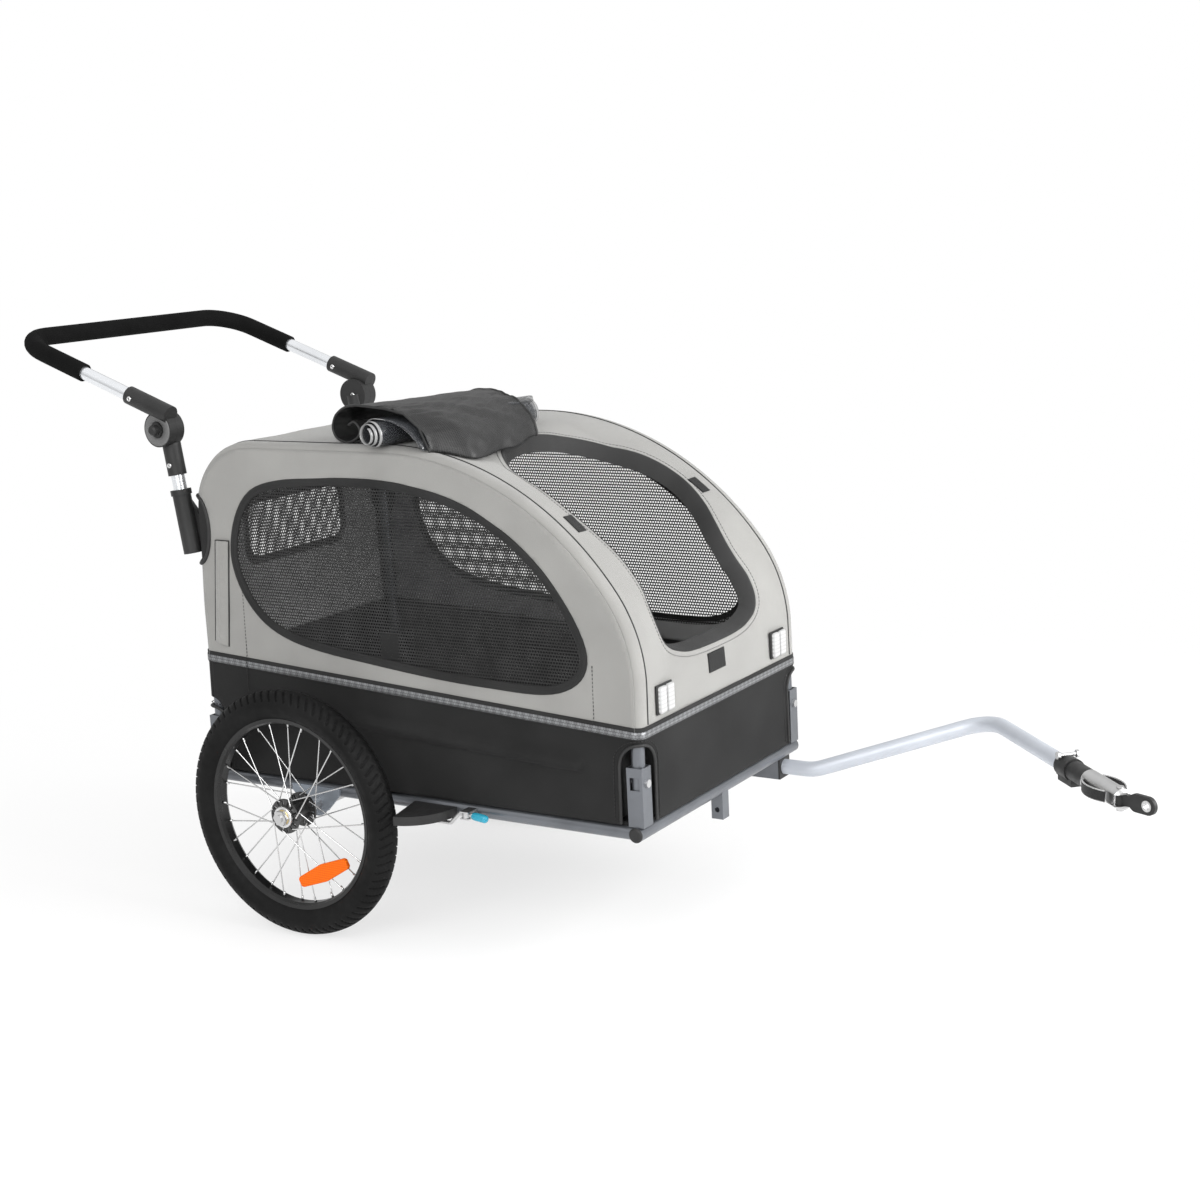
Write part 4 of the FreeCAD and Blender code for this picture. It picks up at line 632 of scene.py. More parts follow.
def inside(point, outline):
    """Whether a flat point lies inside a closed outline."""
    x, y = point[0], point[1]
    odd = False
    for (ax, ay), (bx, by) in zip(outline, outline[1:] + outline[:1]):
        if (ay > y) != (by > y) and x < ax + (y - ay) / (by - ay) * (bx - ax):
            odd = not odd
    return odd


def nearest_on(point, outline):
    """The nearest place on a closed outline to a flat point."""
    best = None
    spot = Vector(point[:2])
    for a, b in zip(outline, outline[1:] + outline[:1]):
        a, b = Vector(a), Vector(b)
        run = b - a
        found = a + run * clamp((spot - a).dot(run) / max(run.length_squared, 1e-9))
        if best is None or (found - spot).length < (best - spot).length:
            best = found
    return best


def cut_cloth(low, high, step, outline=None, holes=()):
    """Flat cloth on a fine grid, in millimetres, cut along an outline and round its holes."""
    bm = bmesh.new()
    size = (high[0] - low[0], high[1] - low[1])
    columns, rows = (max(2, round(span / step)) for span in size)
    bmesh.ops.create_grid(bm, x_segments=columns, y_segments=rows, size=0.5)
    bmesh.ops.scale(bm, vec=(size[0], size[1], 1), verts=bm.verts)
    bmesh.ops.translate(bm, vec=((low[0] + high[0]) / 2, (low[1] + high[1]) / 2, 0), verts=bm.verts)
    cuts = ([outline] if outline else []) + list(holes)
    waste = []
    for face in bm.faces:
        middle = face.calc_center_median()
        out = outline is not None and not inside(middle, outline)
        if out or any(inside(middle, hole) for hole in holes):
            waste.append(face)
    bmesh.ops.delete(bm, geom=waste, context="FACES")
    for vert in [v for v in bm.verts if v.is_boundary]:
        spots = [nearest_on(vert.co, cut) for cut in cuts]
        spots = [s for s in spots if (s - vert.co.xy).length < SNAP * step]
        if spots:
            vert.co.xy = min(spots, key=lambda s: (s - vert.co.xy).length)
    return bm


def drape(bm, place):
    """Moves flat cloth to its place in the scene."""
    for vert in bm.verts:
        vert.co = place(vert.co.x, vert.co.y)


def sewn(name, cut, place, finish, slot, rests_on, held="stretched", outline=None, holes=(), flip=False,
         weld=False, **options):
    """A sheet cut flat between two corners and carried to its place."""
    low, high, step = cut
    bm = cut_cloth(low, high, step, outline, holes)
    area = keep_flat(bm)
    drape(bm, place)
    if flip:
        bmesh.ops.reverse_faces(bm, faces=bm.faces)
    if weld:
        bmesh.ops.remove_doubles(bm, verts=bm.verts, dist=WELD)
    cloth = piece(name, bm, finish, slot, **options)


def ripple(a, b, seed):
    """Smooth, repeatable noise on flat cloth."""
    return noise.noise(Vector((a, b, seed)))


def wrinkle(a, b, scale, size):
    """A soft unevenness of stretched cloth."""
    return size * ripple(a * scale, b * scale, WRINKLE_SEED)


def crease(a, b, slant, along, across, seed, height):
    """A fold that may run aslant over flat cloth, with so many waves to the millimetre each way."""
    return ripple((a + slant * b) * along, b * across, seed) * height


print("cloth helpers ready")

# %% [markdown]
# ## The cabin's outline
# Seen from the side, the cloth follows one line: up the back, round a bend, along the roof, down a long brow
# and round the nose. Walking along that line by arc length tells where each point of the flat roof cloth ends
# up.

# %% The line round the cabin
REAR_X, FRONT_X, ROOF_Z = -220.0, 607.0, 775.0
REAR_R, BROW_R, NOSE_R = 115.0, 500.0, 230.0
BROW_TURN = math.radians(53.49)
NOSE_X = FRONT_X - NOSE_R
ROOF_FLAT_X = NOSE_X - (BROW_R - NOSE_R) * math.sin(BROW_TURN)
NOSE_Z = ROOF_Z - BROW_R + (BROW_R - NOSE_R) * math.cos(BROW_TURN)
STRIP_FRONT_Z, STRIP_REAR_Z, STRIP_H = 371.0, 422.0, 24.0
COVER_LOW_Z = 235.0
FOOT_Z, FOOT_HALF, LEAN = 298.0, 251.5, 0.02516
EDGE_R, SIDE_LAP = 12.0, 3.0
SEAM_Z = 690.0
ROLL_OVER = EDGE_R * math.pi / 2
REAR_TOP_Z = ROOF_Z - REAR_R
RUNS = [REAR_R * math.pi / 2, ROOF_FLAT_X - REAR_X - REAR_R, BROW_R * BROW_TURN,
        NOSE_R * (math.pi / 2 - BROW_TURN)]
REAR_END = SEAM_Z - REAR_TOP_Z
FRONT_END = sum(RUNS) + NOSE_Z - STRIP_FRONT_Z
SEARCH_STEPS = 40


def half_width(z):
    """Half the cabin's width at a height: its sides lean in a little."""
    return FOOT_HALF - LEAN * (z - FOOT_Z)


def strip_z(x):
    """The height of the seam between upper and lower cloth."""
    return STRIP_FRONT_Z + (STRIP_REAR_Z - STRIP_FRONT_Z) * (FRONT_X - x) / (FRONT_X - REAR_X)


def on_profile(s):
    """Place (x, z) and outward direction on the cabin's line; s is 0 at the top of the straight back."""
    if s < 0:
        return Vector((REAR_X, REAR_TOP_Z + s)), Vector((-1, 0))
    if s < RUNS[0]:
        turn = s / REAR_R - math.pi / 2
        out = Vector((math.sin(turn), math.cos(turn)))
        return Vector((REAR_X + REAR_R, REAR_TOP_Z)) + out * REAR_R, out
    s -= RUNS[0]
    if s < RUNS[1]:
        return Vector((REAR_X + REAR_R + s, ROOF_Z)), Vector((0, 1))
    s -= RUNS[1]
    if s < RUNS[2]:
        out = Vector((math.sin(s / BROW_R), math.cos(s / BROW_R)))
        return Vector((ROOF_FLAT_X, ROOF_Z - BROW_R)) + out * BROW_R, out
    s -= RUNS[2]
    if s < RUNS[3]:
        turn = BROW_TURN + s / NOSE_R
        out = Vector((math.sin(turn), math.cos(turn)))
        return Vector((NOSE_X, NOSE_Z)) + out * NOSE_R, out
    return Vector((FRONT_X, NOSE_Z - (s - RUNS[3]))), Vector((1, 0))


def profile_at_x(x):
    """How far along the line the roof or brow has come to a place x."""
    low, high = RUNS[0], sum(RUNS)
    for _ in range(SEARCH_STEPS):
        middle = (low + high) / 2
        if on_profile(middle)[0].x < x:
            low = middle
        else:
            high = middle
    return low


print("line round the cabin", round(FRONT_END - REAR_END), "mm")

# %% [markdown]
# ## Upper cloth
# The roof, brow and nose are one sheet, cut flat with the entrance in it and rolled over both hoops. The back
# and the two sides are separate sheets sewn to it along the hoops. Each is cut from a flat grid, because a
# grid keeps the threads square, and then every point is carried to its place. First come the outlines of the
# openings: a few points joined by a smooth curve give the side windows and the entrance their free shapes.

# %% Outlines of the openings
WINDOW_X, WINDOW_Z = (-144.0, 518.0), (420.0, 720.0)
WINDOW_SHARES = [(0, .62), (.07, .92), (.27, 1), (.53, .985), (.74, .85), (.91, .56), (1, .2), (.93, .02),
                 (.72, .01), (.44, .06), (.17, .15), (.045, .33)]
ENTRANCE_SHARES = [(0, .0), (.03, .42), (.11, .70), (.21, .88), (.32, .97), (.43, 1), (.54, .94), (.64, .87),
                   (.745, .83), (.86, .87), (.945, .83), (.985, .62), (1, .3)]
ENTRANCE_TOP, ENTRANCE_LOW_Z, ENTRANCE_HALF, ENTRANCE_SAG = 548.0, 458.0, 168.0, 13.0
ENTRANCE_RUN = sum(RUNS) - (ENTRANCE_LOW_Z - NOSE_Z) - ENTRANCE_TOP
REAR_WINDOW_HALF, REAR_WINDOW_Z, REAR_WINDOW_R = 128.0, (553.0, 660.0), 30.0
SOCKET_CUT_Z, SOCKET_CUT_HALF, SOCKET_CUT_TALL = 632.0, 26.0, 56.0


def between(p0, p1, p2, p3, t):
    """A place on the smooth curve between the middle two of four points."""
    return 0.5 * (2 * p1 + (p2 - p0) * t + (2 * p0 - 5 * p1 + 4 * p2 - p3) * t * t
                  + (3 * p1 - p0 - 3 * p2 + p3) * t ** 3)


def smooth_loop(points, per_side=8):
    """A closed smooth curve through a few points."""
    curve = []
    count = len(points)
    for k in range(count):
        four = [Vector(points[(k + j) % count]) for j in (-1, 0, 1, 2)]
        curve += [between(*four, step / per_side) for step in range(per_side)]
    return [tuple(point) for point in curve]


def rounded_loop(low, high, radius, per_corner=10):
    """A rectangle with round corners."""
    loop = []
    corners = [(high[0], high[1], 0), (low[0], high[1], 1), (low[0], low[1], 2), (high[0], low[1], 3)]
    for x, y, quarter in corners:
        cx = x - radius if x == high[0] else x + radius
        cy = y - radius if y == high[1] else y + radius
        for step in range(per_corner + 1):
            turn = math.pi / 2 * (quarter + step / per_corner)
            loop.append((cx + radius * math.cos(turn), cy + radius * math.sin(turn)))
    return loop


def moved_loop(loop, distance):
    """The same loop, moved outwards by a distance."""
    count = len(loop)
    turned_way = sum(a[0] * b[1] - b[0] * a[1] for a, b in zip(loop, loop[1:] + loop[:1]))
    way = 1 if turned_way > 0 else -1
    result = []
    for k in range(count):
        run = Vector(loop[(k + 1) % count]) - Vector(loop[k - 1])
        out = Vector((run.y, -run.x)).normalized() * way
        result.append(tuple(Vector(loop[k]) + out * distance))
    return result


def socket_cut(offset, count=40):
    """The oval cut round a handle socket, on the cloth unrolled about the rear edge."""
    turns = [2 * math.pi * k / count for k in range(count)]
    return [(offset + SOCKET_CUT_HALF * math.cos(t), SOCKET_CUT_Z + SOCKET_CUT_TALL * math.sin(t))
            for t in turns]


WINDOW = smooth_loop([(WINDOW_X[0] + a * (WINDOW_X[1] - WINDOW_X[0]),
                       WINDOW_Z[0] + b * (WINDOW_Z[1] - WINDOW_Z[0])) for a, b in WINDOW_SHARES])
HALF_ENTRANCE = [(ENTRANCE_TOP + a * ENTRANCE_RUN, b * ENTRANCE_HALF) for a, b in ENTRANCE_SHARES]
ENTRANCE = smooth_loop(HALF_ENTRANCE + [(a, -b) for a, b in HALF_ENTRANCE[:0:-1]])
REAR_WINDOW = rounded_loop((-REAR_WINDOW_HALF, REAR_WINDOW_Z[0]), (REAR_WINDOW_HALF, REAR_WINDOW_Z[1]),
                           REAR_WINDOW_R)
print("window points", len(WINDOW), "entrance points", len(ENTRANCE))

# %% Upper cloth sheets
CLOTH_T = 0.0012
GRID, ROOF_GRID = 6.0, 5.0
ROOF_FLAT_HALF = half_width(ROOF_Z) - EDGE_R
ROOF_HALF = ROOF_FLAT_HALF + ROLL_OVER
REAR_HALF = half_width(SEAM_Z) - EDGE_R + ROLL_OVER
HOOPS = ["right_hoop", "left_hoop"]
SAG_LEAD, SAG_RISE, SAG_TAIL, SAG_HOLD, SAG_LEAST = 40.0, 60.0, 90.0, 0.85, 0.25
SAG_BEATS, SAG_PHASE = 1.6, 0.6
ROOF_FOLDS, SIDE_FOLDS, REAR_FOLDS = (0.012, 2.2), (0.014, 1.6), (0.013, 1.5)
ROOF_SLACK, EDGE_TIGHT, EDGE_LIFT_RUN, EDGE_LIFT = 0.92, 40.0, 20.0, 0.5
OUTLINE_STEPS, RIM_STEPS = 60, 6


def over_hoops(s, share, lift=0.0):
    """A place on the roof cloth: s along the line, share from -1 to 1 across it, rolled over each hoop."""
    spot, out = on_profile(s)
    flat_half = half_width(spot.y) - EDGE_R
    across = share * (flat_half + ROLL_OVER)
    side = math.copysign(1, across)
    past = max(0.0, abs(across) - flat_half)
    turn = past / EDGE_R
    y = min(abs(across), flat_half) + EDGE_R * math.sin(turn)
    rim = lift * math.sin(turn) if past else 0.0
    drop = EDGE_R * (1 - math.cos(turn)) - (lift * math.cos(turn) if past else lift)
    spot = spot - out * drop
    return at(spot.x, side * (y + rim), spot.y)


def entrance_sag(s, b):
    """How far the free edge round the entrance hangs in, less where it is tight between nose and roof."""
    if s < ENTRANCE_TOP - SAG_LEAD:
        return 0.0
    beat = math.sin(SAG_BEATS * math.pi * (s - ENTRANCE_TOP) / ENTRANCE_RUN + SAG_PHASE) ** 2
    loose = SAG_LEAST + (1 - SAG_LEAST) * beat
    share = clamp((ROOF_FLAT_HALF - abs(b)) / (ROOF_FLAT_HALF - SAG_HOLD * ENTRANCE_HALF))
    start = clamp((s - ENTRANCE_TOP + SAG_LEAD) / SAG_RISE)
    end = clamp((FRONT_END - s) / SAG_TAIL)
    return ENTRANCE_SAG * loose * share ** 2 * start * end


def roof_place(s, b, lift=0.0):
    """Where a point of the flat roof cloth lies, with a slight unevenness between its edges."""
    share = b / ROOF_HALF
    slack = max(0.0, 1 - abs(share) / ROOF_SLACK)
    uneven = wrinkle(s, b, *ROOF_FOLDS) * min(1.0, 3 * slack)
    return over_hoops(s, share, uneven - entrance_sag(s, b) + lift)


def roof_cloth():
    """Roof, brow and nose in one sheet with the entrance cut out."""
    cut = (REAR_END, -ROOF_HALF), (FRONT_END, ROOF_HALF), ROOF_GRID
    sewn("roof_cloth", cut, roof_place, "grey_cloth", "grey_cloth", [*HOOPS, "roof_bars"], holes=[ENTRANCE],
         instead=["roof_panel"], thickness=CLOTH_T, lining="lining")


def side_outline():
    """The side sheet's outline: just over the rolled edge's end and above the seam."""
    start = STRIP_REAR_Z - REAR_TOP_Z
    line = []
    for k in range(OUTLINE_STEPS + 1):
        spot, out = on_profile(start + (FRONT_END - start) * k / OUTLINE_STEPS)
        line.append(tuple(spot - out * (EDGE_R - SIDE_LAP)))
    return line


def side_place(way, x, z, lift=0.0):
    """A place on one side of the cabin, from its drawing seen from the side."""
    return at(x, way * (half_width(z) + lift), z)


def edge_finder(outline):
    """A quick way to find how far a point is from an outline's drawn points."""
    pairs = zip(outline, outline[1:])
    rim = [Vector(a).lerp(Vector(b), k / RIM_STEPS) for a, b in pairs for k in range(RIM_STEPS)]
    edge = kdtree.KDTree(len(rim))
    for number, spot in enumerate(rim):
        edge.insert((*spot, 0), number)
    edge.balance()
    return edge


def side_cloth(name, way):
    """One side sheet with its window cut out, drawn tight along its edge."""
    outline = side_outline()
    edge = edge_finder(outline)

    def place(x, z):
        from_edge = edge.find((x, z, 0))[2]
        loose = clamp((z - strip_z(x) - STRIP_H / 2) / EDGE_TIGHT) * min(1.0, from_edge / EDGE_TIGHT)
        lift = EDGE_LIFT * max(0.0, 1 - from_edge / EDGE_LIFT_RUN)
        return side_place(way, x, z, wrinkle(x, z, *SIDE_FOLDS) * loose + lift)

    low = (REAR_X + EDGE_R - SIDE_LAP, STRIP_FRONT_Z)
    high = (FRONT_X - EDGE_R + SIDE_LAP, ROOF_Z - EDGE_R + SIDE_LAP)
    sewn(name + "_side_cloth", (low, high, GRID), place, "grey_cloth", "grey_cloth", [name + "_hoop"],
         outline=outline, holes=[WINDOW, socket_cut(REAR_X + EDGE_R - ROLL_OVER / 2)], flip=way > 0,
         instead=[name + "_side_panel"], thickness=CLOTH_T, lining="pale_lining")


def rear_place(y, z, lift=0.0):
    """A place on the back of the cabin, rolled round both rear posts."""
    return over_hoops(z - REAR_TOP_Z, y / REAR_HALF, lift)


def rear_cloth():
    """The back sheet with its net window cut out."""
    cut = (-REAR_HALF, STRIP_REAR_Z), (REAR_HALF, SEAM_Z), GRID
    edge = REAR_HALF - ROLL_OVER / 2
    sewn("rear_cloth", cut, lambda y, z: rear_place(y, z, wrinkle(y, z, *REAR_FOLDS)), "grey_cloth",
         "grey_cloth", HOOPS, holes=[REAR_WINDOW, socket_cut(edge), socket_cut(-edge)], flip=True,
         instead=["rear_panel"], thickness=CLOTH_T, lining="pale_lining")


roof_cloth()
rear_cloth()
for side, way in SIDES:
    side_cloth(side, way)

# %% [markdown]
# ## Lower cover and reflective strip
# Both go once round the cabin, so each is a long flat band that is bent round four upright edges. The cover
# has an arch cut out at each corner, where the square hinge brackets stand.

# %% Bands round the cabin
SIDE_RUN = FRONT_X - REAR_X - 2 * EDGE_R
BEND_RUN = EDGE_R * math.pi / 2
END_HALF = half_width(STRIP_FRONT_Z) - EDGE_R
LAP_RUN = 2 * (SIDE_RUN + 2 * END_HALF + 2 * BEND_RUN)
ARCH_HALF, ARCH_SPRING_Z, ARCH_FRONT_H, ARCH_REAR_H = 34.0, 322.0, 34.0, 16.0
ARCH_STEPS, ARCH_FOOT = 16, 20.0
RIDGE_FRONT, RIDGE_REAR, RIDGE_TALL, RIDGE_H = (510.0, 317.0), (60.0, 343.0), 20.0, 10.0
RIDGE_FADE_REAR, RIDGE_FADE_FRONT, RIDGE_SIDE = 60.0, 6.0, 2.0
COVER_GRID, COVER_FOLDS, STRIP_GRID, STRIP_T = 4.0, (0.013, 2.4), 6.0, 0.0006
DARK_EDGE_TOP, SILVER_TOP, SILVER_LOW, DARK_BELOW = 10.5, 4.2, -6.2, 2.0


def round_cabin(u, z, lift=0.0):
    """A place u along the way round the cabin, from the right rear corner forwards, at a height."""
    wide = half_width(z) - EDGE_R
    stretch = wide / END_HALF
    back, front = REAR_X + EDGE_R, FRONT_X - EDGE_R
    legs = [(SIDE_RUN, (back, -wide), (1, 0), (0, -1)), (2 * END_HALF, (front, -wide), (0, stretch), (1, 0)),
            (SIDE_RUN, (front, wide), (-1, 0), (0, 1)), (2 * END_HALF, (back, wide), (0, -stretch), (-1, 0))]
    u = u % LAP_RUN
    for run, start, way, outward in legs:
        out = Vector(outward)
        if u <= run:
            spot = Vector(start) + Vector(way) * u + out * (EDGE_R + lift)
            return at(spot.x, spot.y, z)
        u -= run
        if u <= BEND_RUN:
            corner = Vector(start) + Vector(way) * run
            turn = math.atan2(out.y, out.x) + u / EDGE_R
            spot = corner + Vector((math.cos(turn), math.sin(turn))) * (EDGE_R + lift)
            return at(spot.x, spot.y, z)
        u -= BEND_RUN
    return at(back, -half_width(z) - lift, z)


def x_round(u):
    """How far forward the place u round the cabin is, for the strip's slope."""
    return (round_cabin(u, STRIP_FRONT_Z).x - AXLE_X) / MM


def corner_middles():
    """The four places round the cabin where its upright edges are."""
    first = SIDE_RUN + BEND_RUN / 2
    second = first + BEND_RUN + 2 * END_HALF
    return [first, second, second + BEND_RUN + SIDE_RUN, second + 2 * BEND_RUN + SIDE_RUN + 2 * END_HALF]


def arch(middle):
    """The outline of a corner cut-out on the flat cover, lower at the back."""
    high = ARCH_FRONT_H if x_round(middle) > 0 else ARCH_REAR_H
    turns = [math.pi * k / ARCH_STEPS for k in range(ARCH_STEPS + 1)]
    top = [(middle + ARCH_HALF * math.cos(t), ARCH_SPRING_Z + high * math.sin(t)) for t in turns]
    foot = COVER_LOW_Z - ARCH_FOOT
    return [(middle + ARCH_HALF, foot), *top, (middle - ARCH_HALF, foot)]


def ridge(x, y, z):
    """How far a stiff edge behind the cover pushes it out along each side."""
    slope = (RIDGE_FRONT[1] - RIDGE_REAR[1]) / (RIDGE_FRONT[0] - RIDGE_REAR[0])
    off = (z - RIDGE_REAR[1] - slope * (x - RIDGE_REAR[0])) / (RIDGE_TALL / 2)
    if abs(y) < END_HALF + EDGE_R - RIDGE_SIDE or abs(off) > 1:
        return 0.0
    fade = min(clamp((x - RIDGE_REAR[0]) / RIDGE_FADE_REAR), clamp((RIDGE_FRONT[0] - x) / RIDGE_FADE_FRONT))
    return RIDGE_H * fade * (1 - off * off) ** 0.5


def lower_cloth():
    """The black cover between the seam and the rails, drawn up towards the back, where the seam is higher."""
    arches = [arch(middle) for middle in corner_middles()]
    arches.append([(u - LAP_RUN, z) for u, z in arches[-1]])
    bm = cut_cloth((0, COVER_LOW_Z), (LAP_RUN, STRIP_FRONT_Z), COVER_GRID, holes=arches)
    keep_flat(bm)

    def place(u, z):
        drawn = max(0.0, (z - ARCH_SPRING_Z) / (STRIP_FRONT_Z - ARCH_SPRING_Z))
        up = z + (strip_z(x_round(u)) - STRIP_FRONT_Z) * drawn
        soft = math.sin(math.pi * (z - COVER_LOW_Z) / (STRIP_FRONT_Z - COVER_LOW_Z))
        y = round_cabin(u, z).y / MM
        return round_cabin(u, up, wrinkle(u, z, *COVER_FOLDS) * soft + ridge(x_round(u), y, up))

    drape(bm, place)
    bmesh.ops.remove_doubles(bm, verts=bm.verts, dist=WELD)
    whole = sum(face.calc_area() for face in bm.faces)
    cover = piece("lower_cloth", bm, "black_cloth", "black_cloth", instead=["lower_cover"], thickness=CLOTH_T)


def strip_band(name, low, high, finish, lift, instead=()):
    """A band of tape round the cabin between two distances from the seam's middle."""
    sewn(name, ((0, low), (LAP_RUN, high), STRIP_GRID),
         lambda u, v: round_cabin(u, strip_z(x_round(u)) + v, lift), finish, finish, ["lower_cloth"],
         weld=True, instead=instead, thickness=STRIP_T)


lower_cloth()
strip_band("strip_tape", SILVER_LOW - DARK_BELOW, DARK_EDGE_TOP, "tape", 1.4)
strip_band("silver_strip", SILVER_LOW, SILVER_TOP, "reflective_tape", 2.2, ["reflective_strip"])
print("way round the cabin", round(LAP_RUN), "mm")

# %% [markdown]
# ## Windows, bindings and piping
# A net fills each window behind the cut edge. The edge itself is covered by a folded black tape. A flat tape
# would look painted on, so the fold is a section of a few points, carried round the edge as loops that are
# bridged. A round black cord is sewn into the seams along both hoops.

# %% Nets and bindings
NET_INSET, NET_LAP, NET_GRID = 1.6, 5.0, 9.0
FOLDED_TAPE = ((4.5, 0.6), (3.5, 2.0), (0.5, 2.6), (-2.5, 1.2), (-4.0, 1.0), (-7.0, 2.2), (-9.0, 0.4),
               (-8.5, -2.0))
ENTRANCE_TAPE = ((1.5, 0.9), (0.0, 1.3), (-1.5, 0.2), (-4.0, -3.0), (-9.0, -12.0), (-13.0, -22.0))


def net_window(name, loop, place, instead=()):
    """A net cut a little larger than its window."""
    edge = moved_loop(loop, NET_LAP)
    low = (min(p[0] for p in edge), min(p[1] for p in edge))
    high = (max(p[0] for p in edge), max(p[1] for p in edge))
    sewn(name, (low, high, NET_GRID), lambda a, b: place(a, b, -NET_INSET), "net", "net", HOOPS,
         outline=edge, instead=instead)


def binding(name, loop, place, section=FOLDED_TAPE, instead=(), finish="tape"):
    """A tape sewn along a cut edge; its section gives distances outside the edge and heights over it."""
    bm = bmesh.new()
    rings = []
    for distance, height in section:
        ring = [bm.verts.new((*spot, height)) for spot in moved_loop(loop, distance)]
        rings.append([bm.edges.new(pair) for pair in zip(ring, ring[1:] + ring[:1])])
    for one, other in zip(rings, rings[1:]):
        bmesh.ops.bridge_loops(bm, edges=one + other)
    keep_flat(bm)
    for vert in bm.verts:
        vert.co = place(*vert.co)
    bmesh.ops.recalc_face_normals(bm, faces=bm.faces)
    piece(name, bm, finish, "tape", instead=instead)


for side, way in SIDES:
    on_side = partial(side_place, way)
    net_window(side + "_window_net", WINDOW, on_side, ["window_meshes"])
    binding(side + "_window_binding", WINDOW, on_side, instead=["bindings"])
net_window("rear_window_net", REAR_WINDOW, rear_place)
binding("rear_window_binding", REAR_WINDOW, rear_place)
binding("entrance_binding", ENTRANCE, roof_place, ENTRANCE_TAPE, finish="inner_tape")

# %% Piping along the hoops
PIPING_R, PIPING_STEPS, PIPING_LIFT, SEAM_IN = 1.3, 110, 0.6, 9.0
CORNER_CORD_R, SOCKET_CORD_R, CORD_LIFT, CORD_CLEAR = 2.6, 3.4, 1.0, 2.0
GUSSET_GRID, GUSSET_T, GUSSET_INSET = 4.0, 0.0015, 1.2


def hoop_piping(side, way):
    """A thin cord in the seam between a side and the roof, from strip to strip."""
    start = STRIP_REAR_Z + STRIP_H / 2 - REAR_TOP_Z
    end = FRONT_END - STRIP_H / 2
    path = []
    for k in range(PIPING_STEPS + 1):
        s = start + (end - start) * k / PIPING_STEPS
        half = half_width(on_profile(s)[0].y) - EDGE_R
        path.append(over_hoops(s, way * (half - SEAM_IN) / (half + ROLL_OVER), PIPING_LIFT))
    tube_along(side + "_piping", path, PIPING_R, "black_plastic", "tape")


def rear_edge_place(way, round_edge, z, lift):
    """A place near a rear upright edge, a distance round it from its middle: towards the side if positive."""
    past = round_edge + ROLL_OVER / 2
    if past <= ROLL_OVER:
        return rear_place(way * (REAR_HALF - ROLL_OVER + past), z, lift)
    return side_place(way, REAR_X + EDGE_R + past - ROLL_OVER, z, lift)


def socket_gusset(side, way):
    """A black oval behind a handle socket, cut round the rear edge."""
    low = (-SOCKET_CUT_HALF, SOCKET_CUT_Z - SOCKET_CUT_TALL)
    high = (SOCKET_CUT_HALF, SOCKET_CUT_Z + SOCKET_CUT_TALL)
    sewn(side + "_socket_gusset", (low, high, GUSSET_GRID),
         lambda h, z: rear_edge_place(way, h, z, -GUSSET_INSET), "tape", "tape", [side + "_hoop"],
         outline=socket_cut(0.0), thickness=GUSSET_T)


for side, way in SIDES:
    hoop_piping(side, way)
for number, middle in enumerate(corner_middles()):
    route = [round_cabin(u, max(z, COVER_LOW_Z + CORD_CLEAR), CORD_LIFT) for u, z in arch(middle)]
    tube_along("corner_binding_%d" % number, route, CORNER_CORD_R, "black_plastic", "tape")
for side, way in SIDES:
    socket_gusset(side, way)
    route = [rear_edge_place(way, h, z, CORD_LIFT) for h, z in socket_cut(0.0)]
    tube_along(side + "_socket_binding", route, SOCKET_CORD_R, "black_plastic", "tape", closed=True)

# %% [markdown]
# ## Inside the cabin
# A black cloth covers the floor board out to the walls, and a sleeve of the same cloth boxes in the post at
# each corner, so that no daylight shows past the arches. Solid boxes would do from afar, but cloth keeps its
# edges thin: the floor cloth has a square cut from each corner, and each sleeve is a flat strip folded once.

# %% Floor cloth and post sleeves
SLEEVE_IN, SLEEVE_TOP_Z, WALL_GAP = 46.0, 364.0, 2.0
FLOOR_GRID, FLOOR_LIFT = 11.0, 1.0
board = nodes["floor_panel"]
FLOOR_Z = max((board.matrix_world @ Vector(corner)).z for corner in board.bound_box) / MM + FLOOR_LIFT


def post_sleeve(name, ahead, way):
    """A strip folded round the inner side of one corner post."""
    run = SLEEVE_IN - WALL_GAP

    def place(u, z):
        from_end = SLEEVE_IN - max(0.0, u - run)
        from_side = WALL_GAP + min(u, run)
        x = FRONT_X - from_end if ahead else REAR_X + from_end
        return at(x, way * (half_width(z) - from_side), z)

    sewn(name, ((0, FLOOR_Z), (2 * run, SLEEVE_TOP_Z), run / 4), place, "lining", "black_cloth",
         ["floor_panel"], thickness=CLOTH_T, smooth=False)


def floor_cloth():
    """The cloth on the floor board, cut square at its corners for the posts."""
    half = half_width(FLOOR_Z) - WALL_GAP
    back, front = REAR_X + WALL_GAP, FRONT_X - WALL_GAP
    notch = SLEEVE_IN - WALL_GAP
    near, far = back + notch, front - notch
    wide = half - notch
    outline = [(near, -half), (far, -half), (far, -wide), (front, -wide), (front, wide), (far, wide),
               (far, half), (near, half), (near, wide), (back, wide), (back, -wide), (near, -wide)]
    sewn("floor_cloth", ((back, -half), (front, half), FLOOR_GRID), lambda x, y: at(x, y, FLOOR_Z), "lining",
         "black_cloth", ["floor_panel"], outline=outline, thickness=CLOTH_T)


for ahead, end in ((True, "front"), (False, "rear")):
    for side, way in SIDES:
        post_sleeve(side + "_" + end + "_sleeve", ahead, way)
floor_cloth()

# %% [markdown]
# ## The rolled cover
# The entrance has a net cover and a clear rain sheet. Both are rolled up together and lie askew on the roof:
# the clear sheet is wound into a coil, and the net is thrown over it, hooked under behind and left hanging
# over the brow in front. A cloth simulation could drop them there, but its folds could hardly be matched to
# the real ones, so each is a flat sheet carried along a curve drawn from the side, and the net gets slanting
# creases.

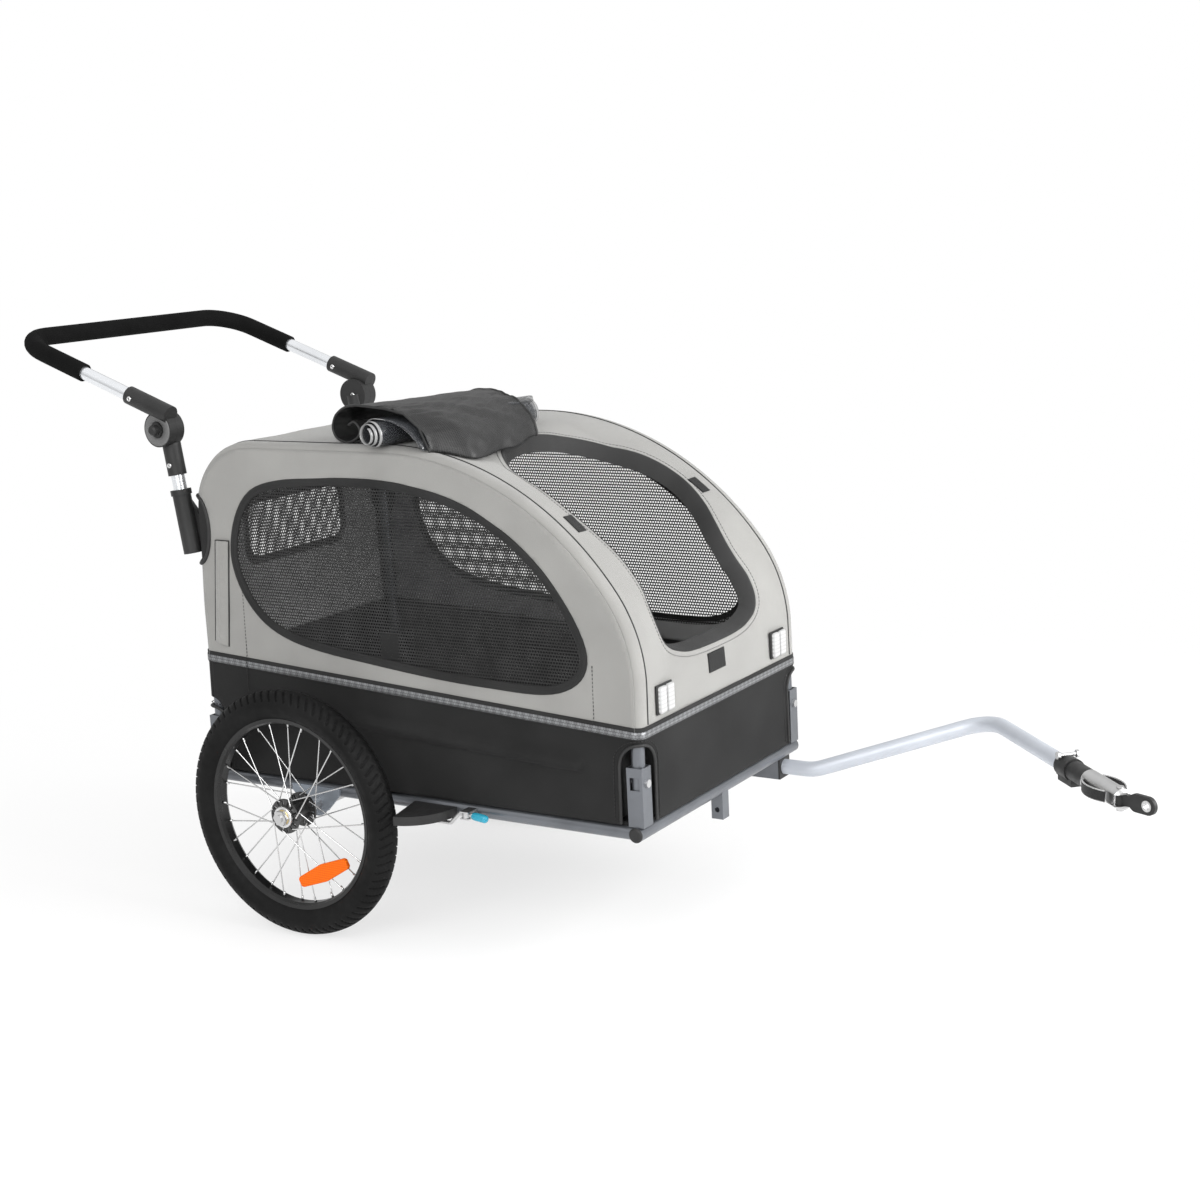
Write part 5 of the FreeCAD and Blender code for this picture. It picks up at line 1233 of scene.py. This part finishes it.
# %% The roll's curves
ROLL_CREST_X, ROLL_NEAR_Y, ROLL_L = 109.0, -222.0, 266.0
ROLL_SKEW, ROLL_LEAST_Z = math.radians(12), 2.0


def roof_z(x):
    """The height of the roof or brow at a place x."""
    past = max(0.0, x - ROOF_FLAT_X)
    return ROOF_Z - BROW_R + math.sqrt(BROW_R ** 2 - past ** 2)


def on_roll(a, v, height):
    """A place on the roll: a across it, v along it from its near end, and a height above the roof."""
    across = a - ROLL_CREST_X
    x = ROLL_CREST_X + across * math.cos(ROLL_SKEW) + v * math.sin(ROLL_SKEW)
    y = ROLL_NEAR_Y - across * math.sin(ROLL_SKEW) + v * math.cos(ROLL_SKEW)
    return at(x, y, roof_z(x) + max(height, ROLL_LEAST_Z))


def open_curve(points, per_side=10):
    """A smooth open curve through points."""
    ends = [2 * Vector(points[0]) - Vector(points[1])] + [Vector(p) for p in points]
    ends.append(2 * Vector(points[-1]) - Vector(points[-2]))
    curve = []
    for k in range(1, len(ends) - 2):
        curve += [between(*ends[k - 1:k + 3], step / per_side) for step in range(per_side)]
    curve.append(ends[-2])
    return curve


def lengths_along(path):
    """The distance from a path's start to each of its points."""
    lengths = [0.0]
    for a, b in zip(path, path[1:]):
        lengths.append(lengths[-1] + (b - a).length)
    return lengths


def along_curve(curve):
    """A function from a length along a curve to its place and left-hand direction, and the curve's length."""
    lengths = lengths_along(curve)

    def find(s):
        k = max(0, min(len(curve) - 2, bisect.bisect_right(lengths, s) - 1))
        run = curve[k + 1] - curve[k]
        spot = curve[k] + run * ((s - lengths[k]) / run.length)
        return spot, Vector((-run.y, run.x)).normalized()
    return find, lengths[-1]


print("roll", round(ROLL_L), "mm long")

# %% Net cover
NET_CURVE = [(298, 2), (295, 13), (285, 27), (264, 40), (220, 53), (170, 59), (125, 60), (90, 57), (63, 44),
             (53, 25), (62, 8), (88, 3), (110, 10), (118, 24), (106, 35), (92, 30)]
NET_EDGE = [(185, 0), (130, 8), (85, 16), (45, 20), (0, 22), (0, 266)]
NET_REACH = [(0, 0.71), (22, 0.73), (70, 1.0), (170, 0.84), (266, 0.61)]
NET_FAR_FALL, NET_COVER_GRID, NET_COVER_T, NET_CORD_R = 0.05, 4.0, 0.0008, 2.2
NET_CREASES = ((0.6, 0.035, 0.012, 1.3, 4.0), (-0.5, 0.09, 0.04, 7.1, 2.0))
CREASE_START, TIGHT_FROM, TIGHT_SHARE = 20.0, 150.0, 0.3
NEAR_STEPS, FAR_STEPS = 60, 80


def net_reach(v):
    """The share of its full reach ahead that the net has along the roll: it is pulled out to one corner."""
    for (low, share), (high, other) in zip(NET_REACH, NET_REACH[1:]):
        if v <= high:
            t = max(0.0, (v - low) / (high - low))
            return share + (other - share) * t * t * (3 - 2 * t)
    return NET_REACH[-1][1]


def net_cover():
    """The net thrown over the coil, creased, with bound ends."""
    find, length = along_curve(open_curve(NET_CURVE))

    def place(s, v):
        spot, left = find(s)
        folds = sum(crease(s, v, *row) for row in NET_CREASES)
        loose = min(1.0, s / CREASE_START) * (1.0 if s < TIGHT_FROM else TIGHT_SHARE)
        spot = spot - left * folds * loose
        ahead = max(0.0, spot.x - NET_CURVE[6][0])
        spot.x += ahead * (net_reach(v) - 1)
        return on_roll(spot.x, v, spot.y * (1 - NET_FAR_FALL * v / ROLL_L))

    sewn("net_cover", ((0, 0), (length, ROLL_L), NET_COVER_GRID), place, "cover_net", "net", ["roof_cloth"],
         "gathered", NET_EDGE + [(length, ROLL_L), (length, 0)], instead=["cover_roll"],
         thickness=NET_COVER_T)
    back_from = NET_EDGE[0][0]
    back = [back_from + (length - back_from) * k / NEAR_STEPS for k in range(1, NEAR_STEPS + 1)]
    near = [place(s, v) for s, v in NET_EDGE[4::-1]] + [place(s, 0) for s in back]
    far = [place(length * k / FAR_STEPS, ROLL_L) for k in range(FAR_STEPS + 1)]
    tube_along("cover_near_binding", near, NET_CORD_R, "black_plastic", "tape")
    tube_along("cover_far_binding", far, NET_CORD_R, "black_plastic", "tape")
    print("net cover", round(length), "by", round(ROLL_L), "mm")


net_cover()

# %% Clear sheet
COIL_X, COIL_R, COIL_STEP, COIL_TURNS, COIL_PROUD = 170.0, 22.0, 3.1, 2.9, 22.0
COIL_FAR_PROUD, COIL_TELESCOPE, COIL_TURN, COIL_RISE = 40.0, 24.0, 0.02, 0.018
COIL_LEAD = [(244, 3), (236, 17), (216, 34), (194, 42)]
COIL_LEAD_CUT, COIL_DRAWN_FROM, COIL_DRAWN_RUN = 90.0, 40.0, 140.0
COIL_STEPS, COIL_GRID, COIL_FOLDS, COIL_T = 200, 4.5, (0.03, 0.6), 0.0007


def clear_coil():
    """The clear rain sheet, wound up, with taped ends that stand out of the net."""
    curve = open_curve(COIL_LEAD + [(COIL_X, 2 * COIL_R)], 8)
    for k in range(1, COIL_STEPS + 1):
        turn = 2 * math.pi * COIL_TURNS * k / COIL_STEPS
        radius = COIL_R - COIL_STEP * turn / (2 * math.pi)
        curve.append(Vector((COIL_X - radius * math.sin(turn), COIL_R + radius * math.cos(turn))))
    find, length = along_curve(curve)
    wide = ROLL_L + COIL_PROUD + COIL_FAR_PROUD
    outline = [(0, COIL_PROUD), (COIL_LEAD_CUT, 0), (length, 0), (length, wide), (COIL_LEAD_CUT, wide),
               (0, wide - 2 * COIL_FAR_PROUD)]

    def place(s, v):
        spot, left = find(s)
        spot = spot + left * wrinkle(s, v, *COIL_FOLDS)
        along = v - COIL_PROUD - COIL_TELESCOPE * (s / length - 0.5)
        drawn_in = clamp((along - COIL_DRAWN_FROM) / COIL_DRAWN_RUN)
        spot.x -= drawn_in * max(0.0, spot.x - COIL_X - COIL_R)
        return on_roll(spot.x + COIL_TURN * along, along, spot.y + COIL_RISE * along)

    sewn("clear_coil", ((0, 0), (length, wide), COIL_GRID), place, "clear_vinyl", "clear_vinyl",
         ["roof_cloth"], "gathered", outline, instead=["vinyl_roll"], thickness=COIL_T)
    print("clear sheet", round(length), "by", round(wide), "mm")


clear_coil()

# %% [markdown]
# ## Foam grip
# The grip is a foam sleeve pulled over the handle's bow. It is swept as one round tube along the bow, because
# a sleeve made of straight lengths would show joints at the bends.

# %% Foam on the bow
JOINT_X, JOINT_Z, ARM_Y = -263.0, 796.0, 258.0
ARM_ANGLE, ARM_OFFSET, ARM_REACH, ARM_BEND_R = math.radians(20), 30.0, 341.0, 65.0
GRIP_START, GRIP_R, GRIP_FILL = 181.0, 15.2, 0.9
ARM_STEPS, BEND_STEPS, BOW_STEPS = 8, 12, 20


def on_arm(reach, y):
    """A place on the handle's plane, a reach away from the joint."""
    x = JOINT_X + ARM_OFFSET * math.sin(ARM_ANGLE) - reach * math.cos(ARM_ANGLE)
    return at(x, y, JOINT_Z + ARM_OFFSET * math.cos(ARM_ANGLE) + reach * math.sin(ARM_ANGLE))


def bow_path(start):
    """Points along the bow from one arm to the other."""
    inner = ARM_Y - ARM_BEND_R
    bend = ARM_REACH - ARM_BEND_R
    near = [(start + (bend - start) * k / ARM_STEPS, -ARM_Y) for k in range(ARM_STEPS + 1)]
    turns = [math.pi / 2 * k / BEND_STEPS for k in range(1, BEND_STEPS + 1)]
    near += [(bend + ARM_BEND_R * math.sin(t), -inner - ARM_BEND_R * math.cos(t)) for t in turns]
    across = [(ARM_REACH, -inner + 2 * inner * k / BOW_STEPS) for k in range(1, BOW_STEPS)]
    far = [(reach, -y) for reach, y in reversed(near)]
    return [on_arm(reach, y) for reach, y in near + across + far]


grip = tube_along("foam_grip", bow_path(GRIP_START), GRIP_R, "foam", "foam", "handle", rings=32)
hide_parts("handle_grip")
print("grip faces", len(grip.data.polygons))

# %% [markdown]
# ## Tyres
# A tyre is a turned shape. Its section is spun round the axle in steps as fine as its tread, and slanting
# grooves are then pressed into the running surface by an inset of the faces that lie on them.

# %% Tyres with tread
WHEEL_R, TYRE_HALF, TRACK_Y, CROWN = 200.0, 22.0, 314.0, 2.0
TREAD_STEPS, CUT_EVERY, CUT_WIDE, CUT_DEPTH, CUT_EDGE = 560, 7, 2, 1.8, 0.3
TREAD_LIMIT, TREAD_MIDDLE = math.radians(66), math.radians(8)
SECTION_ROWS, SECTION_REACH = 26, math.radians(146)
RIB_AT, RIB_NEAR, RIB_H = math.radians(92), 0.08, 0.7


def hub_centre(way, out=0.0):
    """The middle of a wheel, or a place out from it along its axle."""
    return at(0, way * (TRACK_Y + out), WHEEL_R)


def tyre(side, way):
    """One tyre: an oval section, spun, with cuts that slant back from the middle of the tread."""
    mid_r = WHEEL_R - TYRE_HALF - CROWN
    profile = []
    for k in range(SECTION_ROWS + 1):
        turn = -SECTION_REACH + 2 * SECTION_REACH * k / SECTION_ROWS
        rib = RIB_H if abs(abs(turn) - RIB_AT) < RIB_NEAR else 0.0
        profile.append((mid_r + (TYRE_HALF + CROWN + rib) * math.cos(turn),
                        (TYRE_HALF + rib) * math.sin(turn)))
    centre = hub_centre(way)
    bm = turned(profile, centre, (0, 1, 0), TREAD_STEPS)
    cuts = []
    for face in bm.faces:
        middle = face.calc_center_median() - centre
        around = math.atan2(middle.z, middle.x)
        lean = math.atan2(middle.y / MM, Vector((middle.x, middle.z)).length / MM - mid_r)
        column = math.floor((around / (2 * math.pi) + 0.5) * TREAD_STEPS)
        row = round(abs(lean) / (2 * SECTION_REACH / SECTION_ROWS))
        shift = 0 if lean > 0 else CUT_EVERY // 2
        if TREAD_MIDDLE < abs(lean) < TREAD_LIMIT and (column + row + shift) % CUT_EVERY < CUT_WIDE:
            cuts.append(face)
    bmesh.ops.inset_region(bm, faces=cuts, thickness=CUT_EDGE * MM, depth=-CUT_DEPTH * MM,
                           use_even_offset=True)
    bmesh.ops.recalc_face_normals(bm, faces=bm.faces)
    return piece(side + "_tread_tyre", bm, "tyre_rubber", "tyre_rubber", side + "_wheel", [side + "_tyre"])


for side, way in SIDES:
    print(side, "tyre faces", len(tyre(side, way).data.polygons))

# %% [markdown]
# ## Wheel fittings
# The spokes end in bright nipples at the rim. Their places are read from the CAD spokes, so they stay right
# if the lacing changes. A bright ring and a brass-coloured washer finish the hub's outer face.

# %% Nipples and hub faces
HUB_HALF = 27.0
SPOKE_END, SPOKE_APART = 1.2, 6.0
NIPPLE_IN, NIPPLE_LOW_R, NIPPLE_TOP_R, NIPPLE_L = 3.5, 2.2, 1.5, 9.0
LENS_OUTLINE = [(-54, -6), (-50, -9), (0, -14.5), (50, -9), (54, -6), (54, 6), (50, 9), (0, 14.5), (-50, 9),
                (-54, 6)]
LENS_TURN, LENS_EDGE = math.radians(25), 1.4
HUB_RING = [(17.3, -4.0), (17.3, 0.0), (16.5, 0.7), (12.6, 0.7), (12.2, 0.3)]
HUB_WASHER = [(12.4, 0.2), (12.2, 1.0), (9.0, 1.2), (8.2, 0.3)]


def spoke_ends(node, centre):
    """The middle of each spoke's outer end."""
    ends = []
    spots = [nodes[node].matrix_world @ vert.co for vert in nodes[node].data.vertices]
    reach = max(math.hypot(s.x - centre.x, s.z - centre.z) for s in spots)
    for spot in spots:
        if math.hypot(spot.x - centre.x, spot.z - centre.z) > reach - SPOKE_END * MM:
            close = [e for e in ends if (e[0] / e[1] - spot).length < SPOKE_APART * MM]
            if close:
                close[0][0] += spot
                close[0][1] += 1
            else:
                ends.append([spot.copy(), 1])
    return [total / count for total, count in ends]


def facing(spot, way):
    """A transform that stands a shape on a spot with its length along a direction."""
    turn = Vector((0, 0, 1)).rotation_difference(way).to_matrix().to_4x4()
    return Matrix.Translation(spot) @ turn


def nipples(side, way):
    """Small bright collars where the spokes meet the rim."""
    centre = hub_centre(way)
    bm = bmesh.new()
    ends = spoke_ends(side + "_spokes", centre)
    for end in ends:
        inwards = (centre - end).normalized()
        inwards.y = 0
        bmesh.ops.create_cone(bm, cap_ends=True, segments=8, radius1=NIPPLE_LOW_R * MM,
                              radius2=NIPPLE_TOP_R * MM, depth=NIPPLE_L * MM,
                              matrix=facing(end + inwards * NIPPLE_IN * MM, inwards))
    piece(side + "_nipples", bm, "spoke_steel", "spoke_steel", side + "_wheel")
    return len(ends)


def wheel_reflector(side):
    """A long orange lens, widest in its middle, where the CAD one is clipped on the spokes."""
    low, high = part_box(side + "_reflector")
    middle = (low + high) / 2
    bm = bmesh.new()
    verts = []
    for along, across in LENS_OUTLINE:
        x = along * math.cos(LENS_TURN) - across * math.sin(LENS_TURN)
        z = along * math.sin(LENS_TURN) + across * math.cos(LENS_TURN)
        verts.append(bm.verts.new((middle.x + x * MM, low.y, middle.z + z * MM)))
    grown = bmesh.ops.extrude_face_region(bm, geom=[bm.faces.new(verts)])
    tops = [item for item in grown["geom"] if isinstance(item, bmesh.types.BMVert)]
    bmesh.ops.translate(bm, vec=(0, high.y - low.y, 0), verts=tops)
    bmesh.ops.recalc_face_normals(bm, faces=bm.faces)
    round_edges(bm, LENS_EDGE)
    piece(side + "_wheel_reflector", bm, "orange_lens", "orange_lens", side + "_wheel", [side + "_reflector"],
          smooth=False)


def hub_face(side, way):
    """A bright ring and a brass washer on the hub's outer end."""
    outer = hub_centre(way, HUB_HALF)
    wheel = side + "_wheel"
    piece(side + "_hub_ring", turned(HUB_RING, outer, (0, way, 0)), "spoke_steel", "spoke_steel", wheel)
    piece(side + "_hub_washer", turned(HUB_WASHER, outer, (0, way, 0)), "brass", "bare_steel", wheel)


for side, way in SIDES:
    hub_face(side, way)
    wheel_reflector(side)
    print(side, "nipples", nipples(side, way))

# %% [markdown]
# ## Handle fittings
# Each joint has a grey ring round its push button and a bright rivet in its middle on the inner face.
# More rivets hold the sleeves to the tubes. A rivet is a low turned dome with a hole in its middle.

# %% Joint rings and rivets
PARTING_Y, JOINT_HALF_T, STUB_Y = 250.0, 16.0, 241.0
STUB_LEAN = math.radians(8.2)
SLEEVE_R, ARM_RIVET, STUB_RIVET = 15.0, 64.0, 60.0
RIVET = [(1.3, -0.6), (1.5, 0.9), (2.6, 1.5), (3.9, 0.9), (4.3, -0.4)]
JOINT_RING = [(13.2, -0.4), (13.6, 1.1), (25.0, 1.3), (26.2, 0.8), (26.8, -0.4)]


def on_stub(reach, y):
    """A place on the stub's line, a reach below the joint."""
    return at(JOINT_X + reach * math.sin(STUB_LEAN), y, JOINT_Z - reach * math.cos(STUB_LEAN))


def rivet(name, spot, way, body="frame"):
    """A rivet whose head looks to one side."""
    piece(name, turned(RIVET, spot, (0, way, 0), steps=24), "spoke_steel", "bare_steel", body)


def joint_fittings(side, way):
    """The ring and the rivets of one joint."""
    face = at(JOINT_X, way * (PARTING_Y + JOINT_HALF_T), JOINT_Z)
    ring = turned(JOINT_RING, face, (0, way, 0), steps=64)
    piece(side + "_joint_ring", ring, "grey_plastic", "black_plastic", "handle")
    rivet(side + "_joint_rivet", at(JOINT_X, way * (PARTING_Y - JOINT_HALF_T), JOINT_Z), -way)
    for end in (-1, 1):
        arm_spot = on_arm(ARM_RIVET, way * (ARM_Y + end * SLEEVE_R))
        rivet("%s_sleeve_rivet_%d" % (side, end + 1), arm_spot, way * end, "handle")
        stub_spot = on_stub(STUB_RIVET, way * (STUB_Y + end * SLEEVE_R))
        rivet("%s_stub_rivet_%d" % (side, end + 1), stub_spot, way * end)


for side, way in SIDES:
    joint_fittings(side, way)

# %% [markdown]
# ## Brake grips, front reflectors and touch patches
# The brake rods end in blue dipped grips. Each front reflector is a dark plate with two clear lenses side by
# side, made from blocks with rounded edges. Dark touch-fastener patches on the cloth hold the cover when
# it is closed.

# %% Small fittings
BRAKE_TIP, BRAKE_LEAD, BRAKE_GRIP_R = (346.0, 278.0, 222.0), (318.0, 272.0, 222.0), 6.2
GRIP_TIP = (0.01, -2.5)
GRIP_SHARES = [(0.5, -2.0), (0.85, -0.6), (1.0, 2.0), (1.0, 20.0), (0.92, 26.0), (0.6, 30.0)]
LAMP_Y, LAMP_Z = 182.0, 412.0
PLATE_HALF, PLATE_TALL, PLATE_NEAR, PLATE_FAR, PLATE_EDGE = 23.0, 22.0, 0.6, 4.0, 1.5
LENS_STARTS, LENS_WIDE, LENS_TALL, LENS_NEAR, LENS_FAR, CLEAR_EDGE = (2.5, 24.5), 19.0, 20.0, 3.0, 9.5, 3.0
PATCH_X, PATCH_HALF, PATCH_EDGES = 475.0, 17.0, (174.0, 196.0)
LOW_PATCH_Z, LOW_PATCH_HALF, LOW_PATCH_EDGES = 429.0, 15.0, (-37.0, 13.0)
PATCH_GRID, PATCH_LIFT, PATCH_NAP, PATCH_FINE, PATCH_T = 3.0, 1.4, 0.4, 0.4, 0.0012


def rounded_block(low, high, radius):
    """A block between two drawing places, with rounded edges."""
    bm = bmesh.new()
    bmesh.ops.create_cube(bm, size=1)
    low, high = at(*low), at(*high)
    bmesh.ops.scale(bm, vec=high - low, verts=bm.verts)
    bmesh.ops.translate(bm, vec=(low + high) / 2, verts=bm.verts)
    round_edges(bm, radius, 3)
    return bm


def brake_grip(side, way):
    """A dipped grip over the brake rod's end, round at its tip."""
    tip = at(BRAKE_TIP[0], way * BRAKE_TIP[1], BRAKE_TIP[2])
    run = at(BRAKE_LEAD[0], way * BRAKE_LEAD[1], BRAKE_LEAD[2]) - tip
    profile = [GRIP_TIP] + [(share * BRAKE_GRIP_R, along) for share, along in GRIP_SHARES]
    dip = turned(profile, tip, run, steps=28)
    piece(side + "_brake_grip", dip, "blue_dip", "bare_steel", side + "_brake")


def front_reflector(side, way):
    """A dark plate with two clear lenses."""
    low_y, high_y = sorted((way * (LAMP_Y - PLATE_HALF), way * (LAMP_Y + PLATE_HALF)))
    plate = rounded_block((FRONT_X + PLATE_NEAR, low_y, LAMP_Z - PLATE_TALL),
                          (FRONT_X + PLATE_FAR, high_y, LAMP_Z + PLATE_TALL), PLATE_EDGE)
    piece(side + "_reflector_plate", plate, "black_plastic", "black_plastic", instead=["front_reflectors"])
    for number, start in enumerate(LENS_STARTS):
        y = low_y + start
        lens = rounded_block((FRONT_X + LENS_NEAR, y, LAMP_Z - LENS_TALL),
                             (FRONT_X + LENS_FAR, y + LENS_WIDE, LAMP_Z + LENS_TALL), CLEAR_EDGE)
        piece("%s_reflector_lens_%d" % (side, number), lens, "clear_lens", "clear_lens")


def touch_patch(name, middle, half, edges):
    """A rectangle of touch fastener on the roof cloth."""
    def place(s, b):
        return roof_place(s, b, PATCH_LIFT + PATCH_NAP * ripple(s * PATCH_FINE, b * PATCH_FINE, 0))

    sewn(name, ((middle - half, edges[0]), (middle + half, edges[1]), PATCH_GRID), place, "patch", "tape",
         ["roof_cloth"], "laid", thickness=PATCH_T)


for side, way in SIDES:
    brake_grip(side, way)
    front_reflector(side, way)
    edges = sorted(way * edge for edge in PATCH_EDGES)
    touch_patch(side + "_touch_patch", profile_at_x(PATCH_X), PATCH_HALF, edges)
touch_patch("low_touch_patch", sum(RUNS) + NOSE_Z - LOW_PATCH_Z, LOW_PATCH_HALF, LOW_PATCH_EDGES)

# %% [markdown]
# ## Pocket and stitching
# A narrow gathered pocket is sewn on each side near the back. Its two edges are dark cords, and the cloth
# between them is puffed and creased. Rows of short stitches run beside the entrance and the corner arches,
# and one upright row stands at each end of a side. They are small blocks, because lines in the cloth's finish
# would not stand up from it.

# %% Pocket
POCKET = [(-179.0, 616.0), (-151.0, 616.0), (-166.0, 442.0), (-194.0, 450.0)]
POCKET_WIDE, POCKET_TALL, POCKET_GRID, POCKET_T = 28.0, 172.0, 2.0, 0.0008
POCKET_LIFT, POCKET_PUFF, POCKET_CORD_R, POCKET_CORD_LIFT, POCKET_TOP_LIFT = 1.5, 3.4, 1.3, 1.4, 2.2
POCKET_CREASES = ((0.0, 0.05, 0.12, 2.0, 1.6), (0.0, 0.2, 0.05, 5.0, 1.2))
CORD_STEPS, TOP_STEPS = 20, 8


def pocket_place(way, across, down, lift):
    """A place on the pocket: shares across it and down it."""
    top = Vector(POCKET[0]).lerp(Vector(POCKET[1]), across)
    low = Vector(POCKET[3]).lerp(Vector(POCKET[2]), across)
    spot = top.lerp(low, down)
    return side_place(way, spot.x, spot.y, lift)


def pocket(side, way):
    """A gathered strip of cloth between two dark cords."""
    def place(a, b):
        puff = math.sin(math.pi * a / POCKET_WIDE)
        folds = sum(crease(a, b, *row) for row in POCKET_CREASES)
        lift = POCKET_LIFT + puff * (POCKET_PUFF + folds)
        return pocket_place(way, a / POCKET_WIDE, b / POCKET_TALL, lift)

    sewn(side + "_pocket", ((0, 0), (POCKET_WIDE, POCKET_TALL), POCKET_GRID), place, "grey_cloth",
         "grey_cloth", [side + "_side_cloth"], flip=way > 0, thickness=POCKET_T)
    downs = [k / CORD_STEPS for k in range(CORD_STEPS + 1)]
    route = [pocket_place(way, 0, 1 - down, POCKET_CORD_LIFT) for down in downs]
    route += [pocket_place(way, k / TOP_STEPS, 0, POCKET_TOP_LIFT) for k in range(1, TOP_STEPS)]
    route += [pocket_place(way, 1, down, POCKET_CORD_LIFT) for down in downs]
    tube_along(side + "_pocket_cord", route, POCKET_CORD_R, "black_plastic", "tape", rings=4)


print("pocket", POCKET_WIDE, "by", POCKET_TALL, "mm")


# %% Pockets and stitches
STITCH, STITCH_GAP, THREAD = 3.4, 2.4, 1.0
BAR_TACKS = (("rear", -129.0, -46, 130), ("front", 530.0, 8, 96))
STITCH_LIFT, TACK_LIFT, TACK_STEP = 0.9, 3.2, 4
HEM_OUT, ARCH_OUT, ARCH_UP, ARCH_CLEAR = 9.0, 1.3, 6.0, 4.0


def stitches(name, path, finish):
    """A row of short thread stitches along points in the scene."""
    bm = bmesh.new()
    lengths = lengths_along(path)
    size = Matrix.Diagonal((STITCH * MM, THREAD * MM, THREAD * MM, 1))
    along = 0.0
    while along + STITCH * MM < lengths[-1]:
        k = bisect.bisect_right(lengths, along + STITCH * MM / 2) - 1
        run = (path[k + 1] - path[k]).normalized()
        spot = path[k] + run * (along + STITCH * MM / 2 - lengths[k])
        turn = Vector((1, 0, 0)).rotation_difference(run).to_matrix().to_4x4()
        bmesh.ops.create_cube(bm, size=1, matrix=Matrix.Translation(spot) @ turn @ size)
        along += (STITCH + STITCH_GAP) * MM
    piece(name, bm, finish, "tape", smooth=False)


def bar_tack(name, way, x, low, high):
    """An upright row on a side, that runs over the strip if it starts below it."""
    lifts = [(z, STITCH_LIFT if z > STRIP_H / 2 else TACK_LIFT) for z in range(low, high, TACK_STEP)]
    stitches(name, [side_place(way, x, strip_z(x) + z, lift) for z, lift in lifts], "black_plastic")


for side, way in SIDES:
    pocket(side, way)
    for end, x, low, high in BAR_TACKS:
        bar_tack("%s_bar_tack_%s" % (side, end), way, x, low, high)
hem = [roof_place(s, b, STITCH_LIFT) for s, b in moved_loop(ENTRANCE, HEM_OUT)]
stitches("entrance_stitches", hem + hem[:1], "grey_plastic")
for number, middle in enumerate(corner_middles()):
    wide = [(middle + (u - middle) * ARCH_OUT, z + ARCH_UP if z > ARCH_SPRING_Z else z)
            for u, z in arch(middle)]
    path = [round_cabin(u, max(z, COVER_LOW_Z + ARCH_CLEAR), STITCH_LIFT) for u, z in wide]
    stitches("arch_stitches_%d" % number, path, "black_plastic")

# %% [markdown]
# ## Hitch fittings
# A bolt with a nut closes the clamp on the tow arm, two prongs of a tie stick out below it, and webbing bands
# with bright edges bow out beside the coupler. The bands are flat strips carried along an arc.

# %% Clamp bolt, prongs and bands
TOW_TURN, ELBOW = math.radians(46), (919.0, 317.0, 280.0)
HITCH_START, SLEEVE_L, COUPLER_L, COUPLER_R = 262.0, 84.0, 104.0, 15.5
BOLT_ALONG, BOLT_HALF, BOLT_UP, BOLT_R = 12.0, 15.0, 18.0, 3.0
NUT_R, NUT_T, NUT_EDGE = 6.0, 5.0, 0.6
PRONGS, PRONG_R, PRONG_FROM, PRONG_TO = (-5, 4), 2.0, (6, -17), (-12, -16)
BAND_LEAD, BAND_TAIL, BAND_BOW, BAND_GAP, BAND_WIDE = 8.0, 26.0, 10.0, 0.8, 16.0
BAND_GRID, BAND_T, WIRE_R, WIRE_STEPS = 2.0, 0.0018, 1.1, 24


def on_hitch(along, across, up):
    """A place on the tow arm's last leg."""
    x = ELBOW[0] + along * math.cos(TOW_TURN) + across * math.sin(TOW_TURN)
    return at(x, ELBOW[1] - along * math.sin(TOW_TURN) + across * math.cos(TOW_TURN), ELBOW[2] + up)


def clamp_bolt():
    """A bolt across the top of the clamp, with its head and nut."""
    start, end = (on_hitch(HITCH_START + BOLT_ALONG, y, BOLT_UP) for y in (-BOLT_HALF, BOLT_HALF))
    tube_along("clamp_bolt", [start, end], BOLT_R, "bare_steel", "bare_steel", rings=16)
    for number, spot in enumerate((start, end)):
        bm = bmesh.new()
        bmesh.ops.create_cone(bm, cap_ends=True, segments=6, radius1=NUT_R * MM, radius2=NUT_R * MM,
                              depth=NUT_T * MM, matrix=facing(spot, end - start))
        round_edges(bm, NUT_EDGE)
        piece("clamp_nut_%d" % number, bm, "bare_steel", "bare_steel", smooth=False)


def tie_prongs():
    """Two short prongs below the clamp."""
    for number, across in enumerate(PRONGS):
        path = [on_hitch(HITCH_START + along, across, up) for along, up in (PRONG_FROM, PRONG_TO)]
        tube_along("tie_prong_%d" % number, path, PRONG_R, "black_plastic", "black_plastic", rings=12)


def strap_band(name, way):
    """A flat webbing band that bows out beside the coupler, with a bright wire in each edge."""
    start = HITCH_START + SLEEVE_L + BAND_LEAD
    run = COUPLER_L - BAND_TAIL - BAND_LEAD
    length = run * (1 + 8 / 3 * (BAND_BOW / run) ** 2)

    def place(s, v):
        share = s / length
        out = COUPLER_R + BAND_GAP + BAND_BOW * 4 * share * (1 - share)
        return on_hitch(start + share * run, way * out, v)

    sewn(name, ((0, -BAND_WIDE / 2), (length, BAND_WIDE / 2), BAND_GRID), place, "webbing", "webbing",
         ["coupler"], body="coupler", instead=["safety_strap"], thickness=BAND_T)
    for edge in (-1, 1):
        path = [place(length * k / WIRE_STEPS, edge * BAND_WIDE / 2) for k in range(WIRE_STEPS + 1)]
        tube_along("%s_wire_%d" % (name, edge + 1), path, WIRE_R, "spoke_steel", "bare_steel", "coupler")


clamp_bolt()
tie_prongs()
strap_band("near_strap", -1)
strap_band("far_strap", 1)
